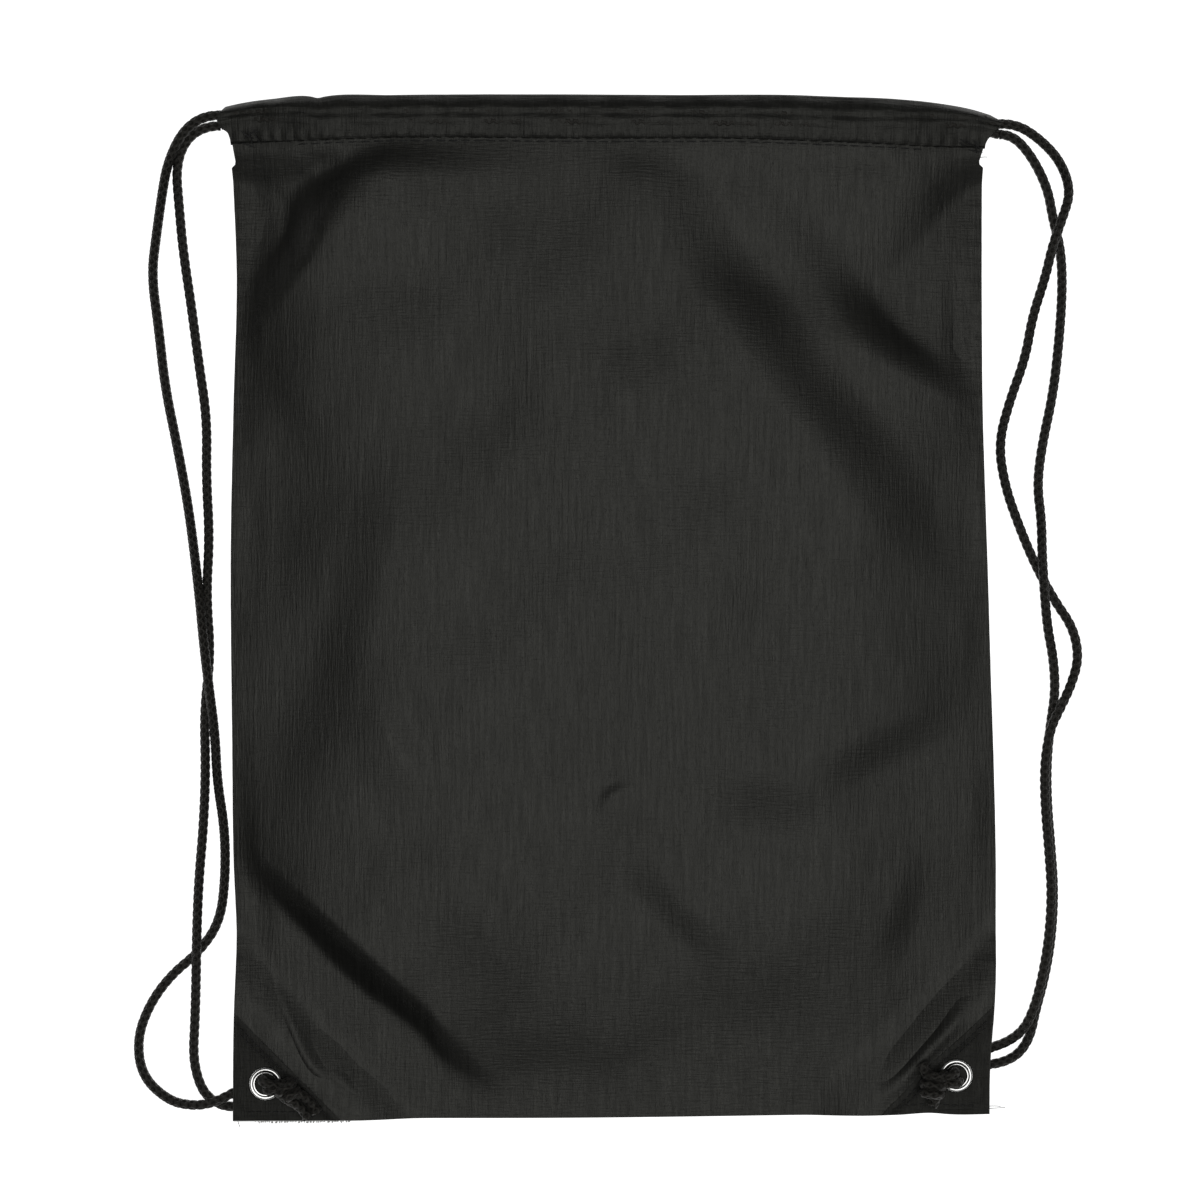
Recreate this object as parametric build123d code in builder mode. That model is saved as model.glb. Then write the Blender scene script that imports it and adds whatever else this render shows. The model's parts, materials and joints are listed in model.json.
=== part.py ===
"""Drawstring backpack (gym sack), lying flat on its back with the mouth towards +Y.

Units are millimetres. +X is to the right, +Y points from the bottom of the bag to its mouth and
+Z points away from the surface that the bag lies on. The origin is under the middle of the bag.
"""
import os
from math import pi, radians, sqrt, tan

from build123d import *

os.makedirs("parts", exist_ok=True)

# Driving dimensions of the bag
BAG_WIDTH = 335.0           # over the two side seams
BAG_HEIGHT = 450.0          # from the bottom edge to the top of the hem tunnels
FABRIC = 0.3                # thickness of one layer of the cloth
HEM_HEIGHT = 19.4           # from the hem's stitch line to its top edge
HEM_LENGTH = 344.0          # from one end of a hem tunnel to the other
HEM_THICKNESS = 5.0         # a hem tunnel with its two cords inside
HEM_CORNER = 2.0            # rounding of a tunnel's long edges
BAG_DEPTH = 12.0            # surface to the underside of the front panel's flat middle
SLOPE_RUN = 25.0            # width of the slope from the flat middle down to the edges
RIM = 3.0                   # flat edge where the two panels lie on each other
END_SLIT = 15.0             # length of the slit in a tunnel's facing wall at each end
END_SLIT_INSET = 3.0        # cloth left along each side of that slit

# Seams and stitches
SEAM_WIDTH = 10.0           # allowance of the side seams, turned inwards
SEAM_TOP_GAP = 30.0         # the side seams stop this far below the top edge
STITCH_PITCH = 5.5
STITCH_LENGTH = 3.6
THREAD = 0.3                # height of a stitch above the cloth
THREAD_WIDTH = 0.6
TACK_LENGTH = 9.0           # bar tack at a tunnel's end
TACK_WIDTH = 1.6
TACK_PITCH = 3.0

# Lifted corners, with the cords passing underneath
PATCH_LEG = 50.0            # legs of the triangular corner patches
PATCH = 0.4                 # thickness of a patch
INTERLINING = 0.3           # white stiffener under the front patch
INTERLINING_INSET = 1.0     # the stiffener is this much smaller than the patch
PATCH_STITCH_INSET = 2.5    # stitch row from the patch's long edge
CORNER_LIFT = 7.0           # surface to the underside of the back patch
CORNER_FLAT = 37.0          # flat part of a corner, measured along the diagonal
CORNER_RAMP = 30.0          # ramp from the lifted corner down to the surface
CORNER_RISE = 20.0          # run over which the front panel rises beside the corner

# Eyelets
EYELET_BORE = 9.0
EYELET_OUTER = 15.0
EYELET_BARREL_WALL = 0.4
EYELET_RISE = 1.2           # height of the rolled flange above the patch
EYELET_LIP = 0.4            # rolled end of the barrel under the washer
EYELET_LIP_OUTER = 11.2
WASHER_THICKNESS = 0.8
HOLE_CLEARANCE = 0.1        # radial, between the barrel and the cloth
LEFT_EYELET = (16.1, 16.4)  # from the bag's left and bottom edges
RIGHT_EYELET = (15.3, 20.0)  # from the bag's right and bottom edges

# Drawcords
CORD = 4.0                  # diameter
CORD_GAP = 0.4              # least gap between two cords in the same bore or tunnel
ON_SURFACE = CORD / 2 + 0.02
CORD_ROW = 3.8              # front and back runs of one cord lie this far apart along Y
LEFT_CORD_BELOW_TOP = 6.1   # front run of the left cord, below the top edge
TURN_INSET = 10.0           # tunnel's end to the start of the cord's turn
KNOT_THICKNESS = 11.2
KNOT_CLEARANCE = 1.0        # between a knot and the patch
KNOT_NECK = 8.4             # two cords side by side, coming up out of the eyelet
KNOT_BRIDGE = 7.0           # the same two cords pulled together on the way to the knot
LEFT_KNOT = (30.4, 11.2)    # from the bag's left and bottom edges
LEFT_KNOT_LENGTH = 27.0
LEFT_KNOT_ANGLE = -46.8
RIGHT_KNOT = (24.9, 17.3)   # from the bag's right and bottom edges
RIGHT_KNOT_LENGTH = 18.0
RIGHT_KNOT_ANGLE = 70.0

# Worked out from the values above
HALF_WIDTH = BAG_WIDTH / 2
HALF_HEIGHT = BAG_HEIGHT / 2
HALF_HEM = HEM_LENGTH / 2
HEM_LINE = HALF_HEIGHT - HEM_HEIGHT
BODY_LENGTH = HEM_LINE + HALF_HEIGHT
BODY_MIDDLE = (HEM_LINE - HALF_HEIGHT) / 2
BACK_TOP = CORNER_LIFT + PATCH + FABRIC
FRONT_TOP = BACK_TOP + FABRIC
PATCH_TOP = FRONT_TOP + INTERLINING + PATCH
BARREL_RADIUS = EYELET_BORE / 2 + EYELET_BARREL_WALL
HOLE_RADIUS = BARREL_RADIUS + HOLE_CLEARANCE
FRONT_CORD_Z = BAG_DEPTH + HEM_THICKNESS / 2
BACK_CORD_Z = HEM_THICKNESS / 2
KNOT_Z = PATCH_TOP + KNOT_CLEARANCE + KNOT_THICKNESS / 2
PULL_END = KNOT_Z - KNOT_NECK / 2
SIDES = {"left": -1, "right": 1}
EYELETS = {
    "left": (-HALF_WIDTH + LEFT_EYELET[0], -HALF_HEIGHT + LEFT_EYELET[1]),
    "right": (HALF_WIDTH - RIGHT_EYELET[0], -HALF_HEIGHT + RIGHT_EYELET[1]),
}
KNOTS = {
    "left": (-HALF_WIDTH + LEFT_KNOT[0], -HALF_HEIGHT + LEFT_KNOT[1]),
    "right": (HALF_WIDTH - RIGHT_KNOT[0], -HALF_HEIGHT + RIGHT_KNOT[1]),
}
KNOT_LENGTHS = {"left": LEFT_KNOT_LENGTH, "right": RIGHT_KNOT_LENGTH}
KNOT_ANGLES = {"left": LEFT_KNOT_ANGLE, "right": RIGHT_KNOT_ANGLE}
LEFT_ROW_Y = HALF_HEIGHT - LEFT_CORD_BELOW_TOP
RIGHT_ROW_Y = LEFT_ROW_Y - CORD - CORD_GAP
ROWS = {"left": LEFT_ROW_Y, "right": RIGHT_ROW_Y}
BEYOND = BAG_WIDTH + BAG_HEIGHT     # longer than any part of the bag


def save(piece, name):
    """Label a finished piece and write it to its own file."""
    piece.part.label = name
    export_step(piece.part, f"parts/{name}.step")


def corner_plane(side):
    """Upright plane through a bottom corner: its x runs along the diagonal, its y is up."""
    inward = Vector(-side, 1, 0).normalized()
    return Plane(
        origin=(side * HALF_WIDTH, -HALF_HEIGHT, 0),
        x_dir=inward,
        z_dir=inward.cross(Vector(0, 0, 1)),
    )


def corner_block(side, bottom, top, foot):
    """Block under a lifted corner: flat at `top`, then a ramp down to `foot`."""
    outline = [
        (-RIM, bottom),
        (-RIM, top),
        (CORNER_FLAT, top),
        (CORNER_FLAT + CORNER_RAMP, foot),
    ]
    if foot > bottom:
        outline.append((CORNER_FLAT + CORNER_RAMP, bottom))
    with BuildPart() as block:
        with BuildSketch(corner_plane(side)):
            with BuildLine():
                Polyline(*outline, close=True)
            make_face()
        extrude(amount=BEYOND, both=True)
        with BuildSketch(Plane.XY.offset(bottom)):
            with Locations((0, BODY_MIDDLE)):
                Rectangle(BAG_WIDTH, BODY_LENGTH)
        extrude(amount=2 * BAG_DEPTH, mode=Mode.INTERSECT)
    return block.part


def back_form(lift):
    """Everything from the surface up to the back panel's underside, raised by `lift`."""
    blocks = [corner_block(side, 0, BACK_TOP - FABRIC + lift, lift) for side in SIDES.values()]
    with BuildPart() as form:
        if lift > 0:
            with BuildSketch():
                with Locations((0, BODY_MIDDLE)):
                    Rectangle(BAG_WIDTH, BODY_LENGTH)
            extrude(amount=lift)
        for block in blocks:
            add(block)
    return form.part


def front_form(lift):
    """Everything between the back panel and the front panel's underside, raised by `lift`."""
    blocks = [
        corner_block(side, FABRIC, BACK_TOP + lift, FABRIC + lift) for side in SIDES.values()
    ]
    slope = (BAG_DEPTH - BACK_TOP) / CORNER_RISE
    ceiling = 3 * BAG_DEPTH
    with BuildPart() as form:
        if lift > 0:
            with BuildSketch(Plane.XY.offset(FABRIC)):
                with Locations((0, BODY_MIDDLE)):
                    Rectangle(BAG_WIDTH, BODY_LENGTH)
            extrude(amount=lift)
        for height, inset in ((FABRIC, RIM), (BAG_DEPTH, RIM + SLOPE_RUN)):
            with BuildSketch(Plane.XY.offset(height + lift)):
                with Locations((0, BODY_MIDDLE + inset / 2)):
                    Rectangle(BAG_WIDTH - 2 * inset, BODY_LENGTH - inset)
        loft()
        for side in SIDES.values():
            with BuildSketch(corner_plane(side)):
                with BuildLine():
                    Polyline(
                        (-RIM, 0),
                        (-RIM, BACK_TOP + lift),
                        (CORNER_FLAT, BACK_TOP + lift),
                        (CORNER_FLAT + (ceiling - BACK_TOP - lift) / slope, ceiling),
                        (BEYOND, ceiling),
                        (BEYOND, 0),
                        close=True,
                    )
                make_face()
            extrude(amount=BEYOND, both=True, mode=Mode.INTERSECT)
        for block in blocks:
            add(block)
    return form.part


def panel(outer, inner):
    """Cloth between two forms, with the holes for both eyelets."""
    with BuildPart() as cloth:
        add(outer)
        add(inner, mode=Mode.SUBTRACT)
        with Locations(*[(x, y, BACK_TOP) for x, y in EYELETS.values()]):
            Hole(HOLE_RADIUS)
    return cloth


def hem_tunnel(floor, slit_z):
    """Folded hem along the mouth: a flat tube with a slit for the cord's turn at each end."""
    with BuildPart() as tunnel:
        with BuildSketch(Plane.YZ.offset(-HALF_HEM)):
            with Locations((HEM_LINE + HEM_HEIGHT / 2, floor + HEM_THICKNESS / 2)):
                RectangleRounded(HEM_HEIGHT, HEM_THICKNESS, HEM_CORNER)
                RectangleRounded(
                    HEM_HEIGHT - 2 * FABRIC,
                    HEM_THICKNESS - 2 * FABRIC,
                    HEM_CORNER - FABRIC,
                    mode=Mode.SUBTRACT,
                )
        extrude(amount=HEM_LENGTH)
        with Locations(*[
            (side * (HALF_HEM - END_SLIT / 2), HEM_LINE + HEM_HEIGHT / 2, slit_z)
            for side in SIDES.values()
        ]):
            Box(END_SLIT, HEM_HEIGHT - 2 * END_SLIT_INSET, 3 * FABRIC, mode=Mode.SUBTRACT)
    return tunnel


def hem_stitches(height, z):
    """Row of stitches that closes a hem tunnel."""
    width = BAG_WIDTH - 2 * (RIM + SLOPE_RUN)
    with BuildPart() as row:
        with Locations((0, HEM_LINE - THREAD_WIDTH * 2, z + height / 2)):
            with GridLocations(STITCH_PITCH, 0, int(width / STITCH_PITCH), 1):
                Box(STITCH_LENGTH, THREAD_WIDTH, height)
    return row


def seam_run():
    """Start along Y and length of a side seam, above the lifted corner."""
    start = -HALF_HEIGHT + sqrt(2) * (CORNER_FLAT + CORNER_RAMP) + RIM
    return start, HALF_HEIGHT - SEAM_TOP_GAP - start


def side_seam(side):
    """Two seam allowances lying inside the bag on the back panel."""
    start, length = seam_run()
    with BuildPart() as seam:
        with BuildSketch(Plane.XY.offset(FABRIC)):
            with Locations((side * seam_middle(), start + length / 2)):
                Rectangle(SEAM_WIDTH, length)
        extrude(amount=2 * FABRIC)
    return seam


def seam_middle():
    """Distance of a side seam's middle from the bag's centre line."""
    headroom = (2 * FABRIC + 2 * THREAD) * SLOPE_RUN / (BAG_DEPTH - FABRIC)
    return HALF_WIDTH - RIM - headroom - SEAM_WIDTH / 2


def seam_stitches(side):
    """Overlock bars across a side seam."""
    start, length = seam_run()
    middle = (side * seam_middle(), start + length / 2, 3 * FABRIC + THREAD / 2)
    with BuildPart() as row:
        with Locations(middle):
            with GridLocations(0, STITCH_PITCH, 1, int(length / STITCH_PITCH) - 1):
                Box(SEAM_WIDTH - 2 * RIM, THREAD_WIDTH, THREAD)
    return row


def corner_triangle(side, z, thickness, inset=0.0):
    """Triangular piece on a bottom corner, with the eyelet's hole."""
    corner_x = side * (HALF_WIDTH - inset)
    corner_y = -HALF_HEIGHT + inset
    leg = PATCH_LEG - (2 + sqrt(2)) * inset
    name = "left" if side < 0 else "right"
    with BuildPart() as piece:
        with BuildSketch(Plane.XY.offset(z)):
            with BuildLine():
                Polyline(
                    (corner_x, corner_y),
                    (corner_x - side * leg, corner_y),
                    (corner_x, corner_y + leg),
                    close=True,
                )
            make_face()
            with Locations(EYELETS[name]):
                Circle(HOLE_RADIUS, mode=Mode.SUBTRACT)
        extrude(amount=thickness)
    return piece


def corner_stitches(side):
    """Stitch row along the long edge of a front corner patch."""
    middle = PATCH_LEG / 2 - PATCH_STITCH_INSET / sqrt(2)
    count = int((sqrt(2) * PATCH_LEG - 4 * PATCH_STITCH_INSET) / STITCH_PITCH)
    row_plane = Plane(
        origin=(side * (HALF_WIDTH - middle), -HALF_HEIGHT + middle, PATCH_TOP + THREAD / 2),
        x_dir=(side, 1, 0),
        z_dir=(0, 0, 1),
    )
    with BuildPart() as row:
        with Locations(row_plane):
            with GridLocations(STITCH_PITCH, 0, count, 1):
                Box(STITCH_LENGTH, THREAD_WIDTH, THREAD)
    return row


def end_tacks(side):
    """Bar tacks at one end of the two hem tunnels."""
    front = (HALF_HEM - END_SLIT / 2, BAG_DEPTH + HEM_THICKNESS)
    back = (HALF_HEM - END_SLIT - TACK_LENGTH / 2 - THREAD_WIDTH, HEM_THICKNESS)
    with BuildPart() as tacks:
        for x, z in (front, back):
            with Locations((side * x, HEM_LINE + HEM_CORNER + TACK_PITCH, z + THREAD / 2)):
                with GridLocations(0, TACK_PITCH, 1, 2):
                    Box(TACK_LENGTH, TACK_WIDTH, THREAD)
    return tacks


def eyelet(name):
    """Flange, barrel and rolled lip of one eyelet, turned about its axis."""
    bore = EYELET_BORE / 2
    outer = EYELET_OUTER / 2
    lip_top = CORNER_LIFT - WASHER_THICKNESS
    lip_bottom = lip_top - EYELET_LIP
    with BuildPart() as ring:
        with BuildSketch(Plane.XZ):
            with BuildLine():
                Polyline(
                    (bore, PATCH_TOP + EYELET_RISE / 2),
                    (bore, lip_bottom),
                    (EYELET_LIP_OUTER / 2, lip_bottom),
                    (EYELET_LIP_OUTER / 2, lip_top),
                    (BARREL_RADIUS, lip_top),
                    (BARREL_RADIUS, PATCH_TOP),
                    (outer, PATCH_TOP),
                )
                ThreePointArc(
                    (outer, PATCH_TOP),
                    ((outer + bore) / 2 + EYELET_BARREL_WALL, PATCH_TOP + EYELET_RISE),
                    (bore, PATCH_TOP + EYELET_RISE / 2),
                )
            make_face()
        revolve(axis=Axis.Z)
    with BuildPart() as placed:
        with Locations(EYELETS[name]):
            add(ring.part)
    return placed


def washer(name):
    """Flat ring behind the eyelet, under the back patch."""
    with BuildPart() as ring:
        with BuildSketch(Plane.XY.offset(CORNER_LIFT - WASHER_THICKNESS)):
            with Locations(EYELETS[name]):
                Circle(EYELET_OUTER / 2)
                Circle(HOLE_RADIUS, mode=Mode.SUBTRACT)
        extrude(amount=WASHER_THICKNESS)
    return ring


def tunnel_cord(side, row_y):
    """The stretch of a drawcord that lies in both tunnels, with its turn at the far end."""
    start = side * HALF_HEM
    turn = -side * (HALF_HEM - TURN_INSET)
    front = Vector(turn, row_y, FRONT_CORD_Z)
    back = Vector(turn, row_y - CORD_ROW, BACK_CORD_Z)
    reach = (front - back).length / 2
    with BuildPart() as cord:
        with BuildLine():
            Line((start, front.Y, front.Z), front)
            ThreePointArc(front, (front + back) / 2 + Vector(-side * reach, 0, 0), back)
            Line(back, (start, back.Y, back.Z))
        with BuildSketch(Plane(origin=(start, front.Y, front.Z), z_dir=(-side, 0, 0))):
            Circle(CORD / 2)
        sweep()
    return cord


def arc_radii(route):
    """Largest arc that the two runs beside each inner point allow."""
    radii = []
    for before, here, after in zip(route, route[1:], route[2:]):
        arriving = Vector(*here) - Vector(*before)
        leaving = Vector(*after) - Vector(*here)
        half_turn = radians(arriving.get_angle(leaving) / 2)
        radii.append(0.45 * min(arriving.length, leaving.length) / tan(half_turn))
    return radii


def strand(name, route):
    """One free strand of cord along straight runs joined by tangent arcs."""
    radii = arc_radii(route)
    with BuildPart() as tube:
        with BuildLine() as path:
            FilletPolyline(*route, radius=radii)
        with BuildSketch(Plane(origin=path.line @ 0, z_dir=path.line % 0)):
            Circle(CORD / 2)
        sweep()
    length = sum(edge.length for edge in path.line.edges())
    ratio = tube.part.volume / (length * pi * (CORD / 2) ** 2)
    print(f"{name}: length {length:.1f}, volume over section times length {ratio:.4f}")
    print("    radii", [round(radius, 1) for radius in radii])
    return tube


def knot(name):
    """Overhand knot of both cord ends, with the neck that comes up out of the eyelet."""
    eyelet_x, eyelet_y = EYELETS[name]
    knot_x, knot_y = KNOTS[name]
    half_length = KNOT_LENGTHS[name] / 2
    radius = KNOT_THICKNESS / 2
    neck = Vector(knot_x - eyelet_x, knot_y - eyelet_y, 0)
    with BuildPart() as lump:
        with BuildSketch(Plane.XZ):
            with BuildLine():
                Line((-half_length, 0), (half_length, 0))
                JernArc((half_length, 0), (0, 1), radius, 90)
                Line((half_length - radius, radius), (radius - half_length, radius))
                JernArc((radius - half_length, radius), (-1, 0), radius, 90)
            make_face()
        revolve(axis=Axis.X)
    with BuildPart() as piece:
        with Locations(Location((knot_x, knot_y, KNOT_Z), (0, 0, KNOT_ANGLES[name]))):
            add(lump.part)
        with BuildSketch(Plane.XY.offset(PULL_END)):
            with Locations((eyelet_x, eyelet_y)):
                Circle(KNOT_NECK / 2)
        extrude(amount=KNOT_NECK)
        with BuildSketch(Plane(origin=(eyelet_x, eyelet_y, KNOT_Z), z_dir=neck)):
            Circle(KNOT_BRIDGE / 2)
        extrude(amount=neck.length)
    return piece


# Routes of the four free strands: out of a tunnel's end, down beside the bag, under the lifted
# corner and up through the eyelet. The ends follow the tunnels and the eyelets.
BORE_SHIFT = (CORD + CORD_GAP) / 2
LEFT_APART = (-0.42 * BORE_SHIFT, 0.91 * BORE_SHIFT)
RIGHT_APART = (-0.40 * BORE_SHIFT, 0.92 * BORE_SHIFT)


def through_eyelet(name, apart, sign):
    """Last two points of a strand: under the eyelet, then straight up through it."""
    x = EYELETS[name][0] + sign * apart[0]
    y = EYELETS[name][1] + sign * apart[1]
    return [(x, y, ON_SURFACE), (x, y, PULL_END)]


LEFT_OUTER_ROUTE = [
    (-HALF_HEM, LEFT_ROW_Y, FRONT_CORD_Z),
    (-178.5, LEFT_ROW_Y, FRONT_CORD_Z),
    (-188.2, 210.4, 9.0),
    (-195.4, 197.0, 3.4),
    (-198.0, 183.0, ON_SURFACE),
    (-200.4, 165.5, ON_SURFACE),
    (-202.6, 147.5, ON_SURFACE),
    (-199.4, 124.0, ON_SURFACE),
    (-196.6, 98.0, ON_SURFACE),
    (-191.2, 72.0, ON_SURFACE),
    (-186.4, 46.0, ON_SURFACE),
    (-183.4, 23.0, ON_SURFACE),
    (-180.8, 3.0, 6.4),
    (-178.8, -16.0, 10.0),
    (-176.4, -36.0, 10.0),
    (-174.2, -56.0, 4.4),
    (-173.6, -76.0, ON_SURFACE),
    (-170.2, -97.0, ON_SURFACE),
    (-169.9, -118.0, ON_SURFACE),
    (-172.2, -138.0, ON_SURFACE),
    (-181.5, -151.5, ON_SURFACE),
    (-193.8, -161.5, ON_SURFACE),
    (-203.4, -174.5, ON_SURFACE),
    (-209.0, -190.0, ON_SURFACE),
    (-206.8, -206.4, ON_SURFACE),
    (-195.0, -217.2, 2.6),
    (-183.4, -218.8, 7.2),
    (-174.4, -217.4, 7.2),
    (-165.0, -212.9, 2.6),
] + through_eyelet("left", LEFT_APART, 1)

LEFT_INNER_ROUTE = [
    (-HALF_HEM, LEFT_ROW_Y - CORD_ROW, BACK_CORD_Z),
    (-178.5, LEFT_ROW_Y - CORD_ROW, BACK_CORD_Z),
    (-187.6, 207.4, ON_SURFACE),
    (-191.8, 195.4, ON_SURFACE),
    (-190.4, 178.0, ON_SURFACE),
    (-188.6, 158.0, ON_SURFACE),
    (-185.0, 134.0, ON_SURFACE),
    (-181.6, 108.0, ON_SURFACE),
    (-178.0, 84.0, ON_SURFACE),
    (-178.4, 58.0, ON_SURFACE),
    (-176.9, 32.0, ON_SURFACE),
    (-178.4, 6.0, ON_SURFACE),
    (-176.4, -20.0, ON_SURFACE),
    (-179.3, -45.0, ON_SURFACE),
    (-178.6, -71.0, ON_SURFACE),
    (-179.6, -96.0, ON_SURFACE),
    (-181.4, -118.0, 3.6),
    (-181.9, -140.0, 10.0),
    (-182.2, -162.0, 10.0),
    (-183.2, -182.0, 3.6),
    (-184.2, -197.5, ON_SURFACE),
    (-181.8, -209.0, ON_SURFACE),
    (-177.4, -216.2, ON_SURFACE),
    (-169.0, -220.4, ON_SURFACE),
    (-159.2, -218.6, ON_SURFACE),
] + through_eyelet("left", LEFT_APART, -1)

RIGHT_OUTER_ROUTE = [
    (HALF_HEM, RIGHT_ROW_Y, FRONT_CORD_Z),
    (178.5, RIGHT_ROW_Y, FRONT_CORD_Z),
    (188.6, 207.4, 8.6),
    (198.8, 198.0, 3.2),
    (203.4, 184.4, 5.0),
    (199.2, 172.0, 10.0),
    (194.8, 160.0, 10.0),
    (192.0, 146.0, 4.2),
    (186.6, 129.0, ON_SURFACE),
    (183.6, 111.0, ON_SURFACE),
    (176.6, 92.0, ON_SURFACE),
    (171.6, 73.0, ON_SURFACE),
    (174.6, 54.0, ON_SURFACE),
    (180.6, 37.0, ON_SURFACE),
    (187.4, 20.5, ON_SURFACE),
    (196.2, 4.0, ON_SURFACE),
    (204.6, -8.0, ON_SURFACE),
    (207.2, -21.5, 2.6),
    (203.4, -33.5, 5.2),
    (198.8, -42.5, 8.6),
    (193.8, -52.5, 8.2),
    (191.4, -67.0, 6.5),
    (191.5, -85.0, 6.5),
    (193.2, -105.0, 6.5),
    (194.6, -125.0, 6.5),
    (193.3, -146.0, 6.5),
    (189.8, -165.0, 6.5),
    (186.4, -177.0, 6.4),
    (182.4, -185.6, 5.0),
    (175.6, -191.2, 3.0),
    (167.0, -194.2, ON_SURFACE),
    (159.0, -198.2, ON_SURFACE),
] + through_eyelet("right", RIGHT_APART, 1)

RIGHT_INNER_ROUTE = [
    (HALF_HEM, RIGHT_ROW_Y - CORD_ROW, BACK_CORD_Z),
    (177.6, RIGHT_ROW_Y - CORD_ROW, BACK_CORD_Z),
    (186.2, 200.4, ON_SURFACE),
    (193.4, 186.0, ON_SURFACE),
    (195.8, 172.0, ON_SURFACE),
    (199.4, 158.0, ON_SURFACE),
    (199.9, 140.0, ON_SURFACE),
    (198.4, 118.0, ON_SURFACE),
    (195.8, 95.0, ON_SURFACE),
    (191.0, 73.0, ON_SURFACE),
    (188.7, 55.0, ON_SURFACE),
    (190.4, 39.0, 5.4),
    (190.2, 24.0, 10.0),
    (191.2, 8.0, 10.0),
    (193.0, -8.0, 4.4),
    (196.0, -22.0, ON_SURFACE),
    (196.8, -37.0, ON_SURFACE),
    (194.6, -51.0, ON_SURFACE),
    (193.0, -67.0, ON_SURFACE),
    (193.1, -85.0, ON_SURFACE),
    (194.8, -105.0, ON_SURFACE),
    (196.2, -125.0, ON_SURFACE),
    (195.0, -146.0, ON_SURFACE),
    (191.8, -164.0, ON_SURFACE),
    (188.0, -177.5, ON_SURFACE),
    (185.8, -188.5, ON_SURFACE),
    (181.0, -196.4, ON_SURFACE),
    (173.6, -200.4, ON_SURFACE),
    (164.6, -201.6, ON_SURFACE),
] + through_eyelet("right", RIGHT_APART, -1)

STRANDS = {
    "left_outer_strand": LEFT_OUTER_ROUTE,
    "left_inner_strand": LEFT_INNER_ROUTE,
    "right_outer_strand": RIGHT_OUTER_ROUTE,
    "right_inner_strand": RIGHT_INNER_ROUTE,
}

# Bag body
save(panel(back_form(FABRIC), back_form(0)), "back_panel")
save(panel(front_form(FABRIC), front_form(0)), "front_panel")
save(hem_tunnel(0, HEM_THICKNESS - FABRIC / 2), "back_hem_tunnel")
save(hem_tunnel(BAG_DEPTH, BAG_DEPTH + FABRIC / 2), "front_hem_tunnel")
save(hem_stitches(THREAD, FABRIC), "back_hem_stitches")
save(hem_stitches(THREAD, BAG_DEPTH + FABRIC), "front_hem_stitches")

# What each side of the bag has
for name, side in SIDES.items():
    save(side_seam(side), f"{name}_side_seam")
    save(seam_stitches(side), f"{name}_seam_stitches")
    save(end_tacks(side), f"{name}_end_tacks")
    save(corner_triangle(side, CORNER_LIFT, PATCH), f"back_{name}_corner_patch")
    save(corner_triangle(side, PATCH_TOP - PATCH, PATCH), f"front_{name}_corner_patch")
    save(
        corner_triangle(side, FRONT_TOP, INTERLINING, INTERLINING_INSET),
        f"{name}_corner_interlining",
    )
    save(corner_stitches(side), f"{name}_corner_stitches")
    save(eyelet(name), f"{name}_eyelet")
    save(washer(name), f"{name}_eyelet_washer")
    save(tunnel_cord(side, ROWS[name]), f"{name}_drawcord_in_tunnels")
    save(knot(name), f"{name}_knot")

# Free strands
for name, route in STRANDS.items():
    save(strand(name, route), name)
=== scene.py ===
"""Drawstring backpack lying flat: cloth bag, hem tunnels, two drawcords, eyelets and stitching.

Lengths are in metres. +X is to the bag's right, +Y towards its mouth, +Z up out of the front.
"""

import json
from math import cos, floor, hypot, pi, radians, sin, sqrt

import bmesh
import bpy
import numpy as np
from bpy.props import FloatProperty, FloatVectorProperty, IntProperty, PointerProperty
from mathutils import Matrix, Vector

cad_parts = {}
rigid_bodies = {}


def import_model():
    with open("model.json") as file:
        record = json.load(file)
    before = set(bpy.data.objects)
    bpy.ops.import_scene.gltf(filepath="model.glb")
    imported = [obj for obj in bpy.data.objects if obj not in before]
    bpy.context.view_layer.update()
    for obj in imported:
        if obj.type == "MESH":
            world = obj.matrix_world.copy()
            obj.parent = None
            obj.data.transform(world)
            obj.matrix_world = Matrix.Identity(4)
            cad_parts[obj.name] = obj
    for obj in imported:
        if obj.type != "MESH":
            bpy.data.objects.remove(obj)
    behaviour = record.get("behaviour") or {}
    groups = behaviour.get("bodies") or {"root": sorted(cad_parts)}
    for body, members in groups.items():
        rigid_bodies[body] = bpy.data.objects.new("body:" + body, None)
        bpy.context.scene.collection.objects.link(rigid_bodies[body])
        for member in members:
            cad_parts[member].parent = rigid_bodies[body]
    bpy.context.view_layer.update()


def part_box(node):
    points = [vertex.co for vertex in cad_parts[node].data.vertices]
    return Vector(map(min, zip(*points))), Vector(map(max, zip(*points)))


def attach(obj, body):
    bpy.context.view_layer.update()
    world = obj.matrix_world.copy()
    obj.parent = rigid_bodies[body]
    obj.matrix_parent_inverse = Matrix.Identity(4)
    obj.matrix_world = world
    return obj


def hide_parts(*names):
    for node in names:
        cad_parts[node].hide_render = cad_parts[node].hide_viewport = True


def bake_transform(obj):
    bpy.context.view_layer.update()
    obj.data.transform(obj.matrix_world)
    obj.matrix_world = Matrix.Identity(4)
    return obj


for thing in list(bpy.data.objects):
    bpy.data.objects.remove(thing)

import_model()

bl_info = {
    "name": "Drawstring Backpack",
    "version": (1, 0, 0),
    "blender": (4, 5, 0),
    "location": "View3D > Sidebar > Backpack",
    "description": "Builds a flat drawstring backpack piece by piece around its packed frame",
    "category": "Object",
}

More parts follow.
